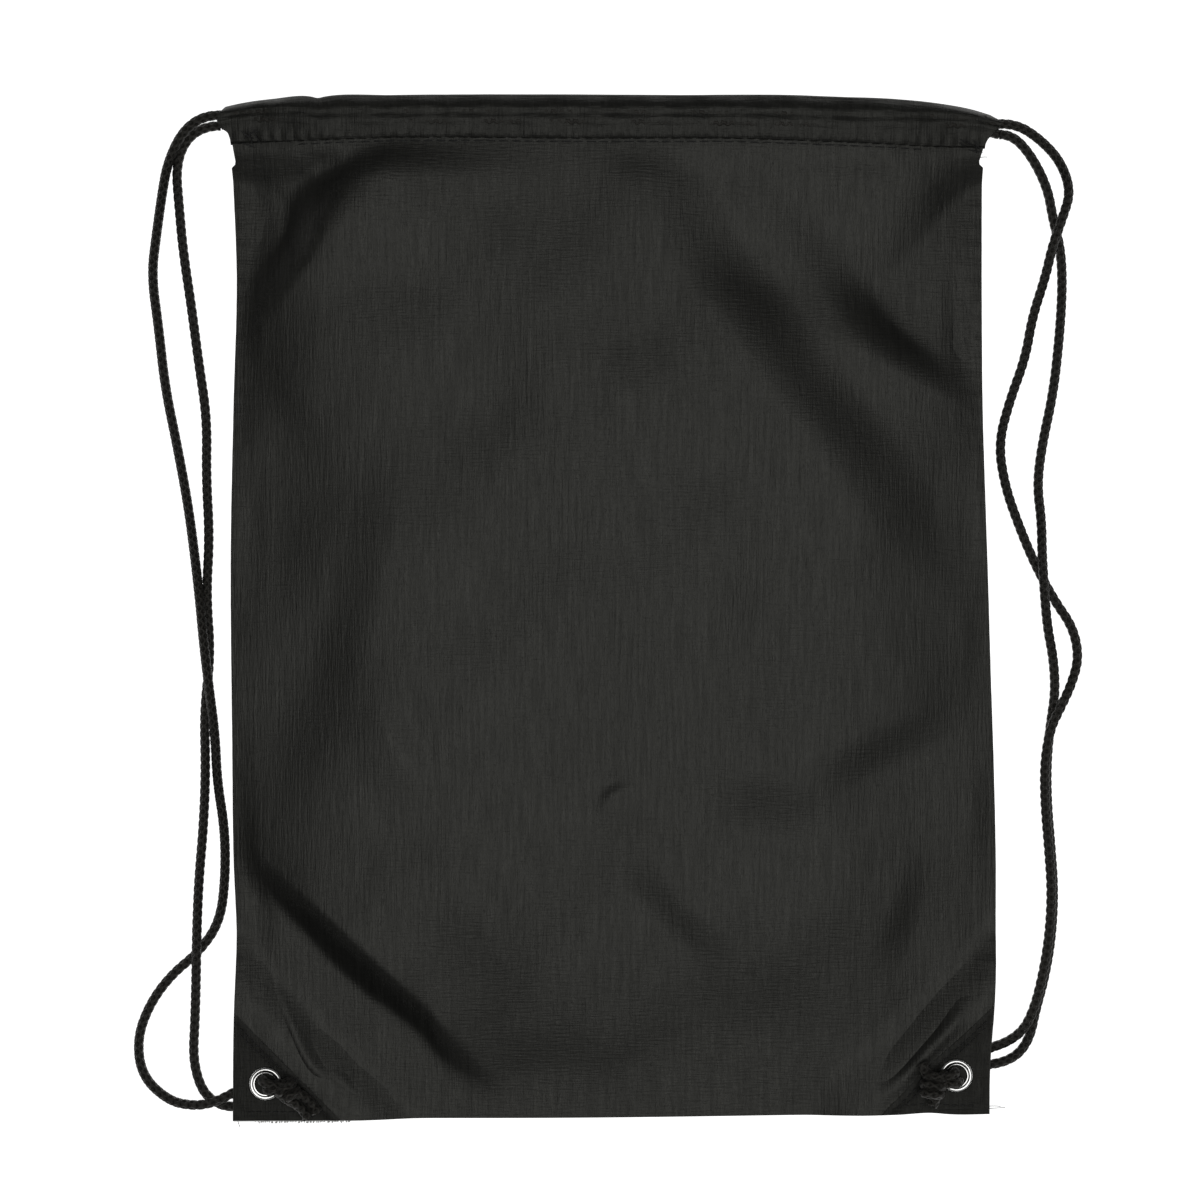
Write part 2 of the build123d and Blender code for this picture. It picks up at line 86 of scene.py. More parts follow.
# Places and sizes taken from the frame
PANEL_LOW, PANEL_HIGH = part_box("front_panel")
TUNNEL_LOW, TUNNEL_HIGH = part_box("front_hem_tunnel")
HALF_WIDTH = PANEL_HIGH[0]
HALF_HEM = TUNNEL_HIGH[0]
BOTTOM = PANEL_LOW[1]
HEM_LINE = TUNNEL_LOW[1]
TOP = TUNNEL_HIGH[1]
SEAM_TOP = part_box("left_side_seam")[1][1]
PLATEAU = PANEL_HIGH[2]
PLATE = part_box("front_left_corner_patch")[0][2]
PATCH_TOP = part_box("front_left_corner_patch")[1][2]
BACK_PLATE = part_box("back_left_corner_patch")[1][2]
TUNNEL_GIRTH = 0.041  # a tunnel's strip laid flat
TUNNEL_RISE = 0.0050  # most that a tunnel stands over its underside


def middle(node):
    """Centre of a node's box."""
    low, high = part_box(node)
    return Vector([(a + b) / 2 for a, b in zip(low, high)])


EYELETS = {name: middle(f"{name}_eyelet") for name in ("left", "right")}
SIDES = {"left": -1, "right": 1}


def length(name, description, default):
    """A length in the panel."""
    return FloatProperty(name=name, description=description, unit="LENGTH", default=default, min=0)


def amount(name, description, default, **more):
    """A plain number in the panel."""
    return FloatProperty(name=name, description=description, default=default, **more)


def paint(name, description, default):
    """A colour in the panel."""
    return FloatVectorProperty(
        name=name, description=description, subtype="COLOR", size=3, default=default, min=0, max=1)


class BagSettings(bpy.types.PropertyGroup):
    """Sizes and colours of the cloth bag."""
    cloth_colour: paint(
        "Cloth colour", "Base colour of the woven polyester", (0.0085, 0.0085, 0.0076))
    cloth_thickness: length("Cloth thickness", "Thickness of one layer", 0.0003)
    cloth_roughness: amount("Cloth roughness", "How matt the cloth is", 0.46, min=0, max=1)
    corner_flat: length("Flat corner", "Flat part of a lifted corner along the diagonal", 0.036)
    corner_ramp: length("Corner ramp", "Run from a lifted corner down to the surface", 0.028)
    patch_leg: length("Patch leg", "Length of a corner patch along the bag's edge", 0.047)
    stitch_pitch: length("Stitch pitch", "Distance from one stitch to the next", 0.0055)
    stitch_length: length("Stitch length", "Visible length of one stitch", 0.0043)
    thread: length("Thread", "Diameter of the sewing thread", 0.0006)


class CordSettings(bpy.types.PropertyGroup):
    """Sizes and colours of the drawcords."""
    cord_colour: paint("Cord colour", "Base colour of the braided cord", (0.0095, 0.0090, 0.0078))
    diameter: length("Diameter", "Diameter of the cord", 0.004)
    relief: length("Braid relief", "Height of the braid's ribs", 0.0008)
    pitch: length("Braid pitch", "Length of one chevron of the braid", 0.0036)
    ring_step: length("Ring step", "Distance between two rings of the mesh", 0.00034)
    sides: IntProperty(name="Sides", description="Faces around the cord", default=24, min=8)


class EyeletSettings(bpy.types.PropertyGroup):
    """Sizes and colours of the eyelets."""
    metal_colour: paint("Metal colour", "Colour of the nickel plate", (0.86, 0.86, 0.84))
    bore: length("Bore", "Inner diameter of the barrel", 0.009)
    outer: length("Outer diameter", "Diameter of the rolled flange", 0.015)


class StageSettings(bpy.types.PropertyGroup):
    """Camera, lights and floor."""
    camera_height: length("Camera height", "Height of the camera over the surface", 1.254)
    lens: amount("Lens", "Focal length in millimetres", 85.0)
    key_power: amount("Key power", "Power of the overhead soft light", 11.2, unit="POWER")
    floor_glow: amount("Floor glow", "Brightness that the pale floor has of itself", 0.985)


def bag():
    """The bag's settings."""
    return bpy.context.scene.backpack_bag


def cords():
    """The cords' settings."""
    return bpy.context.scene.backpack_cords


def eyelets():
    """The eyelets' settings."""
    return bpy.context.scene.backpack_eyelets


def stage():
    """The stage's settings."""
    return bpy.context.scene.backpack_stage


# ---------------------------------------------------------------- shader maths

class Socket:
    """A number in a shader graph: operators on it add Math nodes."""

    def __init__(self, graph, link):
        self.graph = graph
        self.link = link

    def maths(self, operation, *others):
        """A Math node that works on this number and the others."""
        return self.graph.node("ShaderNodeMath", {"operation": operation}, [self, *others])

    def __add__(self, other):
        return self.maths("ADD", other)

    def __radd__(self, other):
        return self.maths("ADD", other)

    def __sub__(self, other):
        return self.maths("SUBTRACT", other)

    def __mul__(self, other):
        return self.maths("MULTIPLY", other)


class Graph:
    """One material's nodes."""

    def __init__(self, name):
        self.material = bpy.data.materials.new(name)
        self.material.use_nodes = True
        self.tree = self.material.node_tree
        self.shader = self.tree.nodes["Principled BSDF"]

    def feed(self, socket, value):
        """Links a value to a socket, or sets it there."""
        if isinstance(value, Socket):
            self.tree.links.new(value.link, socket)
        else:
            socket.default_value = value

    def node(self, kind, settings=None, values=(), output=0):
        """A node of one kind, with its settings and the values or links of its sockets."""
        made = self.tree.nodes.new(kind)
        for name, value in (settings or {}).items():
            setattr(made, name, value)
        pairs = values.items() if isinstance(values, dict) else enumerate(values)
        for key, value in pairs:
            self.feed(made.inputs[key], value)
        return Socket(self, made.outputs[output])

    def finish(self, **values):
        """Sets the main shader's sockets and returns the material."""
        for name, value in values.items():
            self.feed(self.shader.inputs[name.replace("_", " ")], value)
        return self.material

    def flat_map(self):
        """The piece's own flat map, in metres."""
        return self.node("ShaderNodeUVMap", {"uv_map": "flat"})

    def stretched(self, where, scale):
        """A position scaled along each axis."""
        return self.node("ShaderNodeMapping", {}, {"Vector": where, "Scale": scale})

    def noise(self, where, scale=1.0, detail=2.0, rough=0.5):
        """Smooth noise about a half."""
        return self.node(
            "ShaderNodeTexNoise", {},
            {"Vector": where, "Scale": scale, "Detail": detail, "Roughness": rough})

    def mixed(self, factor, first, second):
        """A colour between two."""
        return self.node(
            "ShaderNodeMix", {"data_type": "RGBA"}, {0: factor, 6: first, 7: second}, output=2)

    def bump(self, height, distance, strength=1.0):
        """A normal from a height."""
        return self.node(
            "ShaderNodeBump", {},
            {"Height": height, "Distance": distance, "Strength": strength})


def rgba(colour, factor=1.0):
    """Four numbers of a colour, scaled."""
    return (colour[0] * factor, colour[1] * factor, colour[2] * factor, 1.0)


def woven_cloth(name, colour, roughness, painted_shade=1.0, gloss=0.5):
    """Plain-woven polyester with slubs along the warp and a fine weave in relief; a shade factor
    under 1 darkens the whole colour as painted shade.
    """
    graph = Graph(name)
    flat = graph.flat_map()
    warp = graph.noise(graph.stretched(flat, (1150.0, 100.0, 1.0)), detail=3.0, rough=0.65)
    weft = graph.noise(graph.stretched(flat, (140.0, 1150.0, 1.0)), detail=2.0, rough=0.5)
    slub = graph.noise(graph.stretched(flat, (520.0, 20.0, 1.0)), detail=2.0)
    patchy = graph.noise(graph.stretched(flat, (11.0, 7.0, 1.0)), detail=3.0)
    weave = warp * 0.65 + weft * 0.35
    tone = (weave * 0.55 + slub * 0.28 + patchy * 0.17 - 0.5) * 3.0 + 0.5
    # painted shade: the factor scales the cloth's colour down, for darker copies of the same cloth
    tint = graph.mixed(tone, rgba(colour, 0.1 * painted_shade), rgba(colour, 1.9 * painted_shade))
    sheen = graph.noise(graph.stretched(flat, (700.0, 40.0, 1.0)), detail=2.0)
    rough = roughness - 0.16 + sheen * 0.24 + patchy * 0.08
    return graph.finish(
        Base_Color=tint,
        Roughness=rough,
        Normal=graph.bump(weave + slub * 0.35, 0.0005, 0.85),
        Specular_IOR_Level=gloss,
        Specular_Tint=(1.0, 1.0, 0.92, 1.0),
        Sheen_Weight=0.12,
        Sheen_Roughness=0.35,
    )


def braided_cord(name):
    """Braided polyester, faintly brown and glossy, with painted shade in the grooves between the
    ribs and painted highlight on their tops.
    """
    graph = Graph(name)
    height = graph.node("ShaderNodeAttribute", {"attribute_name": "height"}, output=2)
    flat = graph.flat_map()
    fibre = graph.noise(graph.stretched(flat, (5200.0, 1400.0, 1.0)), detail=3.0)
    colour = cords().cord_colour
    # painted shade and highlight: the ribs' height darkens the colour in the grooves and lightens
    # it on the rib tops
    tone = height * 0.9 + fibre * 0.4 - 0.15
    tint = graph.mixed(tone, rgba(colour, 0.04), rgba(colour, 2.6))
    return graph.finish(
        Base_Color=tint,
        Roughness=0.34 + fibre * 0.2,
        Normal=graph.bump(fibre, 0.0002, 0.6),
        Specular_IOR_Level=0.27,
        Specular_Tint=(1.0, 0.97, 0.90, 1.0),
        Sheen_Weight=0.05,
    )


def nickel_plate():
    """Bright nickel with faint turning marks and a little wear."""
    graph = Graph("nickel_plate")
    place = graph.node("ShaderNodeTexCoord", output=3)
    wear = graph.noise(place, scale=420.0, detail=3.0)
    cloud = graph.noise(place, scale=160.0, detail=2.0)
    colour = eyelets().metal_colour
    return graph.finish(
        Base_Color=graph.mixed(cloud, rgba(colour, 0.86), rgba(colour, 1.08)),
        Metallic=1.0,
        Roughness=0.11 + wear * 0.12,
        Normal=graph.bump(wear, 0.00005, 0.25),
    )


def sewing_thread(name, colour):
    """Twisted thread."""
    graph = Graph(name)
    place = graph.node("ShaderNodeTexCoord", output=3)
    twist = graph.noise(graph.stretched(place, (2600.0, 5200.0, 2600.0)), detail=2.0)
    return graph.finish(
        Base_Color=graph.mixed(twist, rgba(colour, 0.6), rgba(colour, 1.5)),
        Roughness=0.55 + twist * 0.2,
        Normal=graph.bump(twist, 0.0001, 0.5),
    )


def fuzzy_interlining():
    """White non-woven stiffener."""
    graph = Graph("interlining")
    place = graph.node("ShaderNodeTexCoord", output=3)
    fibre = graph.noise(place, scale=1500.0, detail=4.0, rough=0.7)
    return graph.finish(
        Base_Color=graph.mixed(fibre, (0.55, 0.54, 0.52, 1.0), (0.9, 0.9, 0.88, 1.0)),
        Roughness=0.85,
        Normal=graph.bump(fibre, 0.0002, 0.6),
    )


MATERIALS = {}
WHITE = (1.0, 1.0, 1.0, 1.0)
SAME_PLACE = 0.000001  # vertices closer than this are one


def make_materials():
    """Every finish, made once."""
    colour = bag().cloth_colour
    rough = bag().cloth_roughness
    MATERIALS["cloth"] = woven_cloth("bag_cloth", colour, rough)
    # The hem and the corner patches take darker copies of the cloth's colour: painted shade for
    # the sloping tunnels and the creased corners.
    MATERIALS["hem"] = woven_cloth("hem_cloth", colour, rough, 0.9, 0.40)
    MATERIALS["patch"] = woven_cloth("patch_cloth", colour, rough + 0.02, 0.8, 0.27)
    MATERIALS["cord"] = braided_cord("drawcord_braid")
    MATERIALS["nickel"] = nickel_plate()
    MATERIALS["thread"] = sewing_thread("dark_thread", (0.010, 0.010, 0.0095))
    MATERIALS["interlining"] = fuzzy_interlining()


# ---------------------------------------------------------------- shape helpers

def ease(t):
    """Smooth step from 0 to 1."""
    t = np.clip(t, 0.0, 1.0)
    return t * t * (3.0 - 2.0 * t)


def through(stops, t):
    """Smooth line through (place, value) stops, at one place or an array of places."""
    places = np.array([stop[0] for stop in stops])
    values = np.array([stop[1] for stop in stops])
    slopes = np.gradient(values, places)
    t = np.clip(np.asarray(t, dtype=float), places[0], places[-1])
    index = np.clip(np.searchsorted(places, t, side="right") - 1, 0, len(places) - 2)
    span = places[index + 1] - places[index]
    u = (t - places[index]) / span
    first = (u**3 - 2 * u**2 + u) * span * slopes[index]
    second = (u**3 - u**2) * span * slopes[index + 1]
    rise = 3 * u**2 - 2 * u**3
    return (1 - rise) * values[index] + first + (rise * values[index + 1] + second)


def new_piece(name, mesh_maker, material, smooth=True):
    """An object at the origin whose mesh a bmesh function makes."""
    mesh = bpy.data.meshes.new(name)
    form = bmesh.new()
    mesh_maker(form)
    bmesh.ops.recalc_face_normals(form, faces=form.faces)
    form.to_mesh(mesh)
    form.free()
    for face in mesh.polygons:
        face.use_smooth = smooth
    piece = bpy.data.objects.new(name, mesh)
    bpy.context.scene.collection.objects.link(piece)
    mesh.materials.append(MATERIALS[material])
    return piece


def settle(piece, node=None, body=None):
    """Hides the node that a piece replaces and puts the piece on the body it rides on."""
    if node:
        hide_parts(node)
    if body:
        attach(piece, body)


def flat_grid(form, columns, rows):
    """A unit grid from (0, 0) to (1, 1) with its flat map, returned as arrays of u and v."""
    bmesh.ops.create_grid(form, x_segments=columns, y_segments=rows, size=0.5)
    bmesh.ops.translate(form, verts=form.verts, vec=(0.5, 0.5, 0.0))
    form.verts.ensure_lookup_table()
    places = np.array([vert.co[:] for vert in form.verts])
    return places[:, 0], places[:, 1]


def place_verts(form, x, y, z):
    """Moves every vertex to its new place."""
    for vert, place in zip(form.verts, np.stack([x, y, z], axis=1)):
        vert.co = place


def write_flat_map(form, u, v):
    """Stores a flat position in metres on every corner of every face."""
    layer = form.loops.layers.uv.new("flat")
    for face in form.faces:
        for loop in face.loops:
            index = loop.vert.index
            loop[layer].uv = (u[index], v[index])


# ---------------------------------------------------------------- outline of the bag

def metres(rows):
    """A table in metres from one in millimetres."""
    return [tuple(value / 1000 for value in row) for row in rows]


LEFT_OUT = metres([  # Y, and how far the left edge stands out from the frame's
    (-225, -1.6), (-190, -1.8), (-150, -2.6), (-110, -1), (-60, -0.4), (30, 0.2), (90, -1),
    (147, -2.4), (195, -0.6),
])
RIGHT_OUT = metres([
    (-225, -0.6), (-200, -0.2), (-176, 1.6), (-150, 2.8), (-124, 3.2), (-70, 2.3), (-30, 1),
    (15, -0.3), (48, -1.4), (88, -2.6), (130, -3), (195, -3),
])
BOTTOM_UP = metres([  # X, and how far the bottom edge lies above the frame's
    (-170, -0.2), (-100, 0), (-10, 0.2), (55, 1), (105, 1.9), (128, 2.6), (142, 3.4), (150, 2.8),
    (171, 3),
])
HEM_LINE_UP = metres([  # X, and how far the hem's stitch line lies above the frame's
    (-170, -1.6), (-136, -0.6), (-100, 0.6), (-10, 0.4), (60, 0.2), (106, -1.4), (156, -3.3),
    (172, -3),
])
TOP_UP = metres([  # X, and how far the top edge lies above the frame's
    (-172, -4.4), (-163, -2.4), (-148, -0.6), (-131, 0), (-128.5, -0.6), (-125, 0), (-95, 0.6),
    (-30, 0.9), (30, 0.6), (79, 0.6), (101, -0.2), (123, -1), (145, -2.8), (158, -4.8),
    (172, -8.8),
])
SLIT_INSET = {"left": (0.0022, 0.0016), "right": (0.0026, 0.0032)}  # at the seam, less at the hem
EDGE_OUT = {"left": LEFT_OUT, "right": RIGHT_OUT}


def edge_x(name, y):
    """Distance of a side edge from the centre line."""
    out = HALF_WIDTH + through(EDGE_OUT[name], y)
    inset, less = SLIT_INSET[name]
    above = np.clip((y - SEAM_TOP) / (HEM_LINE - SEAM_TOP), 0, 1)
    return out - (inset - less * above) * ease((y - SEAM_TOP) / 0.0014)


def bottom_y(x):
    """Y of the bottom edge."""
    return BOTTOM + through(BOTTOM_UP, x)


def hem_y(x):
    """Y of the hem's stitch line."""
    return HEM_LINE + through(HEM_LINE_UP, x)


def top_y(x):
    """Y of the top edge of the hem tunnels."""
    return TOP + through(TOP_UP, x)


# ---------------------------------------------------------------- form of the cloth

def corner_weight(x, y, flat, run):
    """1 on the flat corner plates, easing to 0 further in along the diagonal."""
    name = "left" if np.mean(x) < 0 else "right"
    across = edge_x(name, y) - np.abs(x) + y - bottom_y(x)
    return 1 - ease((across - flat * sqrt(2)) / (run * sqrt(2)))


DROOP = 0.0046  # of the front tunnel at its ends


def droop(x):
    """How far the front tunnel's ends hang down."""
    return DROOP * ease((np.abs(x) - 0.118) / 0.054)


def hem_height(x):
    """Height of the front cloth's face along the hem."""
    return PLATEAU - droop(x)


def swell(t):
    """Crowned profile from 0 at an edge to 1 in the open cloth."""
    t = np.clip(t, 0, 1)
    return 0.55 * ease(t) + 0.45 * (1 - (1 - t) ** 2)


FRONT_FOLDS = [  # in millimetres: line, width, height, run-out, and which side stands high
    (((-84, 246), (-96, 228), (-113, 197), (-138, 166), (-163, 134), (-192, 98)), 28, 13, 55, 1),
    (((-84, 100), (-104, 35), (-121, -26), (-146, -80)), 24, 1.9, 50, 1),
    (((-12, 260), (8, 222), (34, 172), (70, 124), (99, 85), (132, 41),
      (176, -4)), 34, 6.6, 70, -1),
    (((30, 196), (88, 160), (116, 128), (170, 100)), 22, 1.8, 35, -1),
    (((88, 142), (132, 118), (200, 86)), 30, 7.8, 30, -1),
    (((-196, -86), (-160, -115), (-128, -142), (-98, -170), (-62, -207),
      (-40, -232)), 18, 10.5, 65, 1),
    (((-6, -97), (-2.5, -82), (13, -73.5)), 6, 1.4, 12, -1),
    (((0, -104), (24, -130), (54, -160)), 18, 2.4, 30, 1),
    (((-68, -86), (-48, -126), (-20, -172)), 30, 3, 45, -1),
    (((74, -84), (118, -62), (166, -44)), 22, 2.6, 32, 1),
    (((36, -70), (70, -88), (112, -100)), 30, 3.4, 35, 1),
    (((138, -98), (130, -132), (120, -166)), 16, 1.7, 22, -1),
    (((114, -222), (132, -200), (145, -184), (160, -160)), 10, 4.8, 12, -1),
    (((156, -150), (164.5, -170), (166, -188)), 8, 1.6, 12, 1),
    (((-156, -155), (-146, -180), (-134, -204), (-110, -222)), 9, 5.4, 10, 1),
    (((-128, -200), (-116, -214), (-102, -226)), 7, 2, 12, 1),
    (((-102, -155), (-101, -182), (-96, -210)), 7, 1.1, 12, -1),
    (((-83, -162), (-79, -186), (-73, -211)), 8, 1.2, 14, 1),
    (((-164, 122), (-146, 96), (-124, 66)), 18, 1, 30, 1),
    (((-102, -36), (-89, -58), (-78, -82)), 14, 1.6, 20, -1),
    (((-5, 116), (-2, 100), (6, 84)), 10, 0.9, 16, 1),
    (((48, 80), (62, 20), (56, -50)), 34, 1.8, 50, -1),
    (((-68, 180), (-40, 120), (-33, 50)), 34, 1.8, 50, 1),
    (((-150, 214), (-128, 196), (-118, 180)), 12, 1.8, 14, -1),
    (((118, 206), (138, 193), (160, 186)), 12, 1.8, 16, -1),
]

BACK_FOLDS = [
    (((-120, 190), (-70, 120), (-30, 20)), 18, 2.2, 30, 1),
    (((130, 160), (90, 60), (100, -40)), 16, 2, 26, -1),
    (((-110, -60), (-60, -110), (10, -130)), 16, 1.8, 26, 1),
    (((30, -150), (80, -120), (150, -110)), 14, 1.6, 22, -1),
]


DIP = 0.42  # share of a fold's height that lies below the cloth around it
FADE = 0.42  # share of a fold's length over which it dies out at each end


def fold_height(x, y, line, width, height, reach, side):
    """What one fold adds: a steep step along its line and easy run-outs on both sides of it."""
    stops = np.array(line) / 1000
    width, height, reach = width / 1000, height / 1000, reach / 1000
    chord = stops[-1] - stops[0]
    length = hypot(*chord)
    ahead = chord / length
    aside = np.array([-ahead[1], ahead[0]])
    marks = [(float(gap.dot(ahead)) / length, float(gap.dot(aside))) for gap in stops - stops[0]]
    x, y = x - stops[0][0], y - stops[0][1]
    along = (x * ahead[0] + y * ahead[1]) / length
    away = x * aside[0] + y * aside[1]
    bend = (through(marks, along + 0.01) - through(marks, along - 0.01)) / (0.02 * length)
    behind = side * (away - through(marks, along)) / np.sqrt(1 + bend ** 2)
    ends = ease(along / FADE) * ease((1 - along) / FADE)
    rise = ease((behind + width / 2) / width) - DIP
    return height * rise * np.exp(-np.maximum(0, np.abs(behind) - width / 2) / reach) * ends


WAVES = [  # (waves per metre along X and Y, start, height)
    (9.0, 4.0, 0.4, 0.00050), (-6.0, 12.0, 2.1, 0.00045), (17.0, -9.0, 4.0, 0.00014),
    (5.0, 21.0, 1.2, 0.00012), (29.0, 13.0, 5.1, 0.00005), (-26.0, 22.0, 3.3, 0.00005),
]


def ripple(x, y):
    """Gentle unevenness of cloth that lies loose."""
    total = np.zeros(np.shape(x))
    for across, along, start, height in WAVES:
        total += height * np.sin(2 * pi * (across * x + along * y) + start)
    return total


def pucker(along, height, spacing=0.0021):
    """Small gathers beside a row of stitches."""
    wave = np.sin(2 * pi * along / spacing) + 0.7 * np.sin(2 * pi * along / (spacing * 2.7) + 1.3)
    return height * wave


def from_edges(x, y):
    """Distances from the side edge, the bottom edge and the hem line."""
    side = np.maximum(edge_x("left" if np.mean(x) < 0 else "right", y) - np.abs(x), 0)
    return side, np.maximum(y - bottom_y(x), 0), np.maximum(hem_y(x) - y, 0)


SEAM_HEIGHT = 0.0009  # the front cloth's face where it is sewn at the sides and the bottom
SLACK = 0.0045  # the empty bag's front lies this far below its full height
OVER_PLATEAU = 0.005  # folds rise at most this far above the full height
LOW_CLOTH = 0.0030  # dips in the front cloth are pressed together below this height


def front_height(x, y):
    """Height of the front cloth's outer face."""
    side, low, under_hem = from_edges(x, y)
    crown = PLATEAU - SLACK - SEAM_HEIGHT
    body = SEAM_HEIGHT + crown * swell(side / 0.074) * swell(low / 0.110)
    mouth = 1 - ease(under_hem / (0.018 + 0.048 * ease(side / 0.045)))
    body = body * (1 - mouth) + hem_height(x) * mouth
    plate = corner_weight(x, y, bag().corner_flat, bag().corner_ramp)
    body = body * (1 - plate) + (PLATE - 0.0003) * plate
    loose = ease(side / 0.013) * ease(low / 0.013) * ease(under_hem / 0.018)
    loose = loose * (1 - 0.85 * corner_weight(x, y, 0.0338, 0.0080))
    folds = sum(fold_height(x, y, *fold) for fold in FRONT_FOLDS)
    body = body + folds * loose * (0.35 + 0.65 * swell(side / 0.040)) + ripple(x, y) * loose
    over = np.maximum(body - PLATEAU, 0)
    body = body - over + OVER_PLATEAU * (1 - np.exp(-over / OVER_PLATEAU))
    under = np.maximum(LOW_CLOTH - body, 0) * ease(side / 0.020)
    body = body + under - LOW_CLOTH / 2 * (1 - np.exp(-under / (LOW_CLOTH / 2)))
    body = body + pucker(y, 0.00012, 0.0083) * np.exp(-side / 0.006) * ease(under_hem / 0.020)
    return body + pucker(x, 0.00010, 0.0110) * np.exp(-under_hem / 0.007) * ease(under_hem / 0.002)


def back_height(x, y):
    """Height of the back cloth's outer face, which lies underneath."""
    loose = np.prod([ease(gap / 0.020) for gap in from_edges(x, y)], axis=0)
    folds = sum(fold_height(x, y, *fold) for fold in BACK_FOLDS)
    body = (folds + 0.5 * np.abs(ripple(x, y))) * loose
    plate = corner_weight(x, y, bag().corner_flat + 0.001, bag().corner_ramp)
    return body * (1 - plate) + BACK_PLATE * plate


def soft_edges(piece):
    """Marks the open edges sharp, so that the cut edge doesn't shade into the face."""
    counts = np.zeros(len(piece.data.edges), int)
    loops = np.zeros(len(piece.data.loops), int)
    piece.data.loops.foreach_get("edge_index", loops)
    np.add.at(counts, loops, 1)
    for edge, count in zip(piece.data.edges, counts):
        if count == 1:
            edge.use_edge_sharp = True


def thicken(piece, thickness):
    """Gives a sheet its thickness on the inner side of its outer face."""
    soft_edges(piece)
    wall = piece.modifiers.new("thickness", "SOLIDIFY")
    wall.thickness = thickness
    wall.offset = -1.0
    wall.use_even_offset = False


def cloth_half(name, side_name, face, columns, rows, material):
    """Half of one panel, from the centre line to a side edge, over the outer face's form."""
    side = SIDES[side_name]

    def shape(form):
        u, v = flat_grid(form, columns, rows)
        near = side * u * HALF_WIDTH
        low = bottom_y(near)
        y = low + v * (hem_y(near) + 0.0005 - low)
        x = side * u * edge_x(side_name, y)
        place_verts(form, x, y, face(x, y))
        write_flat_map(form, x, y)

    return new_piece(name, shape, material)


def face_up(piece, up=True):
    """Turns an open sheet's faces so that they look up, or down."""
    form = bmesh.new()
    form.from_mesh(piece.data)
    total = sum(face.normal.z * face.calc_area() for face in form.faces)
    if (total > 0) != up:
        bmesh.ops.reverse_faces(form, faces=form.faces)
    form.to_mesh(piece.data)
    form.free()


def swing(piece):
    """Bakes a cloth half's placement into its mesh."""
    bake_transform(piece)


# ---------------------------------------------------------------- form of the hem tunnels

END_X = {  # share of the way from the hem line to the top, and how far out the end lies there
    "left": [(0.0, 0.1668), (0.2, 0.1690), (0.35, 0.1718), (0.75, 0.1712), (1.0, 0.1692)],
    "right": [(0.0, 0.1648), (0.25, 0.1682), (0.5, 0.1712), (0.75, 0.1719), (1.0, 0.1672)],
}
SECTION = [  # (share of the way round, share across, height over the tunnel's underside)
    (0.00, 0.000, 0.0002), (0.06, 0.060, 0.0012), (0.13, 0.190, 0.0030), (0.20, 0.330, 0.0044),
    (0.25, 0.440, 0.0049), (0.31, 0.560, 0.0046), (0.37, 0.680, 0.0049), (0.43, 0.810, 0.0041),
    (0.50, 0.930, 0.0026), (0.55, 0.992, 0.0016), (0.58, 1.000, 0.0010), (0.61, 0.985, 0.0004),
    (0.68, 0.850, 0.0000), (0.84, 0.420, 0.0000), (0.97, 0.040, 0.0000), (1.00, 0.000, 0.0002),
]
SMALL_TUCKS = [(-0.0726, 1.0), (-0.0418, 0.8), (-0.0176, 0.7), (0.0308, 0.9), (0.104, 0.5),
               (-0.118, 0.6), (0.061, 0.4)]
SINK = 0.0022  # the front tunnel hangs this far below its hem line
FRONT_RUN_Z = 0.0145  # height of the cords in the front tunnel before it sags
BACK_CORD_Z = 0.0025  # height of the cords in the back tunnel


def towards_top(x, across):
    """Moves the ridge up the tunnel near its ends, where the cords leave by the top corner."""
    return across ** (1 - 0.42 * ease((np.abs(x) - 0.110) / 0.055))


def cord_place(x, share, height):
    """Where a cord inside a tunnel runs, at a share of the way from the hem line to the top."""
    y = float(hem_y(x)) + float(towards_top(x, share)) * float(top_y(x) - hem_y(x))
    return (x, y, height - float(droop(x)) - SINK if height == FRONT_RUN_Z else height)


def tunnel_height(x, across, height):
    """Height over the underside after puckers and tucks."""
    tucks = sum(depth * np.exp(-((x - place) / 0.0030) ** 2) for place, depth in SMALL_TUCKS)
    lean = np.sin(2 * pi * x / 0.0330 + 5 * across)
    lean = lean + 0.6 * np.sin(2 * pi * x / 0.0127 - 3 * across)
    puff = 1 + 0.055 * lean - 0.09 * tucks
    near_hem = np.exp(-((across - 0.04) / 0.12) ** 2)
    return height * puff + 0.00022 * np.sin(2 * pi * x / 0.0055) * near_hem * (height > 0.0003)


def tunnel_half(name, side_name, front, columns, rows, material):
    """Half of one hem tunnel: the turned-over hem with the ridge of the cords inside."""
    side = SIDES[side_name]

    def shape(form):
        u, v = flat_grid(form, columns, rows)
        across = through([(stop[0], stop[1]) for stop in SECTION], v)
        height = np.maximum(through([(stop[0], stop[2]) for stop in SECTION], v), 0)
        across = np.clip(across, 0, 1)
        x = side * u * through(END_X[side_name], across)
        low = hem_y(x)
        high = top_y(x) - (0.0 if front else 0.0007)
        y = low + towards_top(x, across) * (high - low)
        rise = tunnel_height(x, across, height)
        base = TUNNEL_LOW[2] - droop(x) - SINK * ease(across / 0.32) if front else 0.0
        place_verts(form, x, y, base + np.clip(rise, 0, TUNNEL_RISE))
        write_flat_map(form, x, v * TUNNEL_GIRTH)
        bmesh.ops.remove_doubles(form, verts=form.verts, dist=SAME_PLACE)

    piece = new_piece(name, shape, material)
    thicken(piece, bag().cloth_thickness * 0.9)
    return piece


# ---------------------------------------------------------------- cords

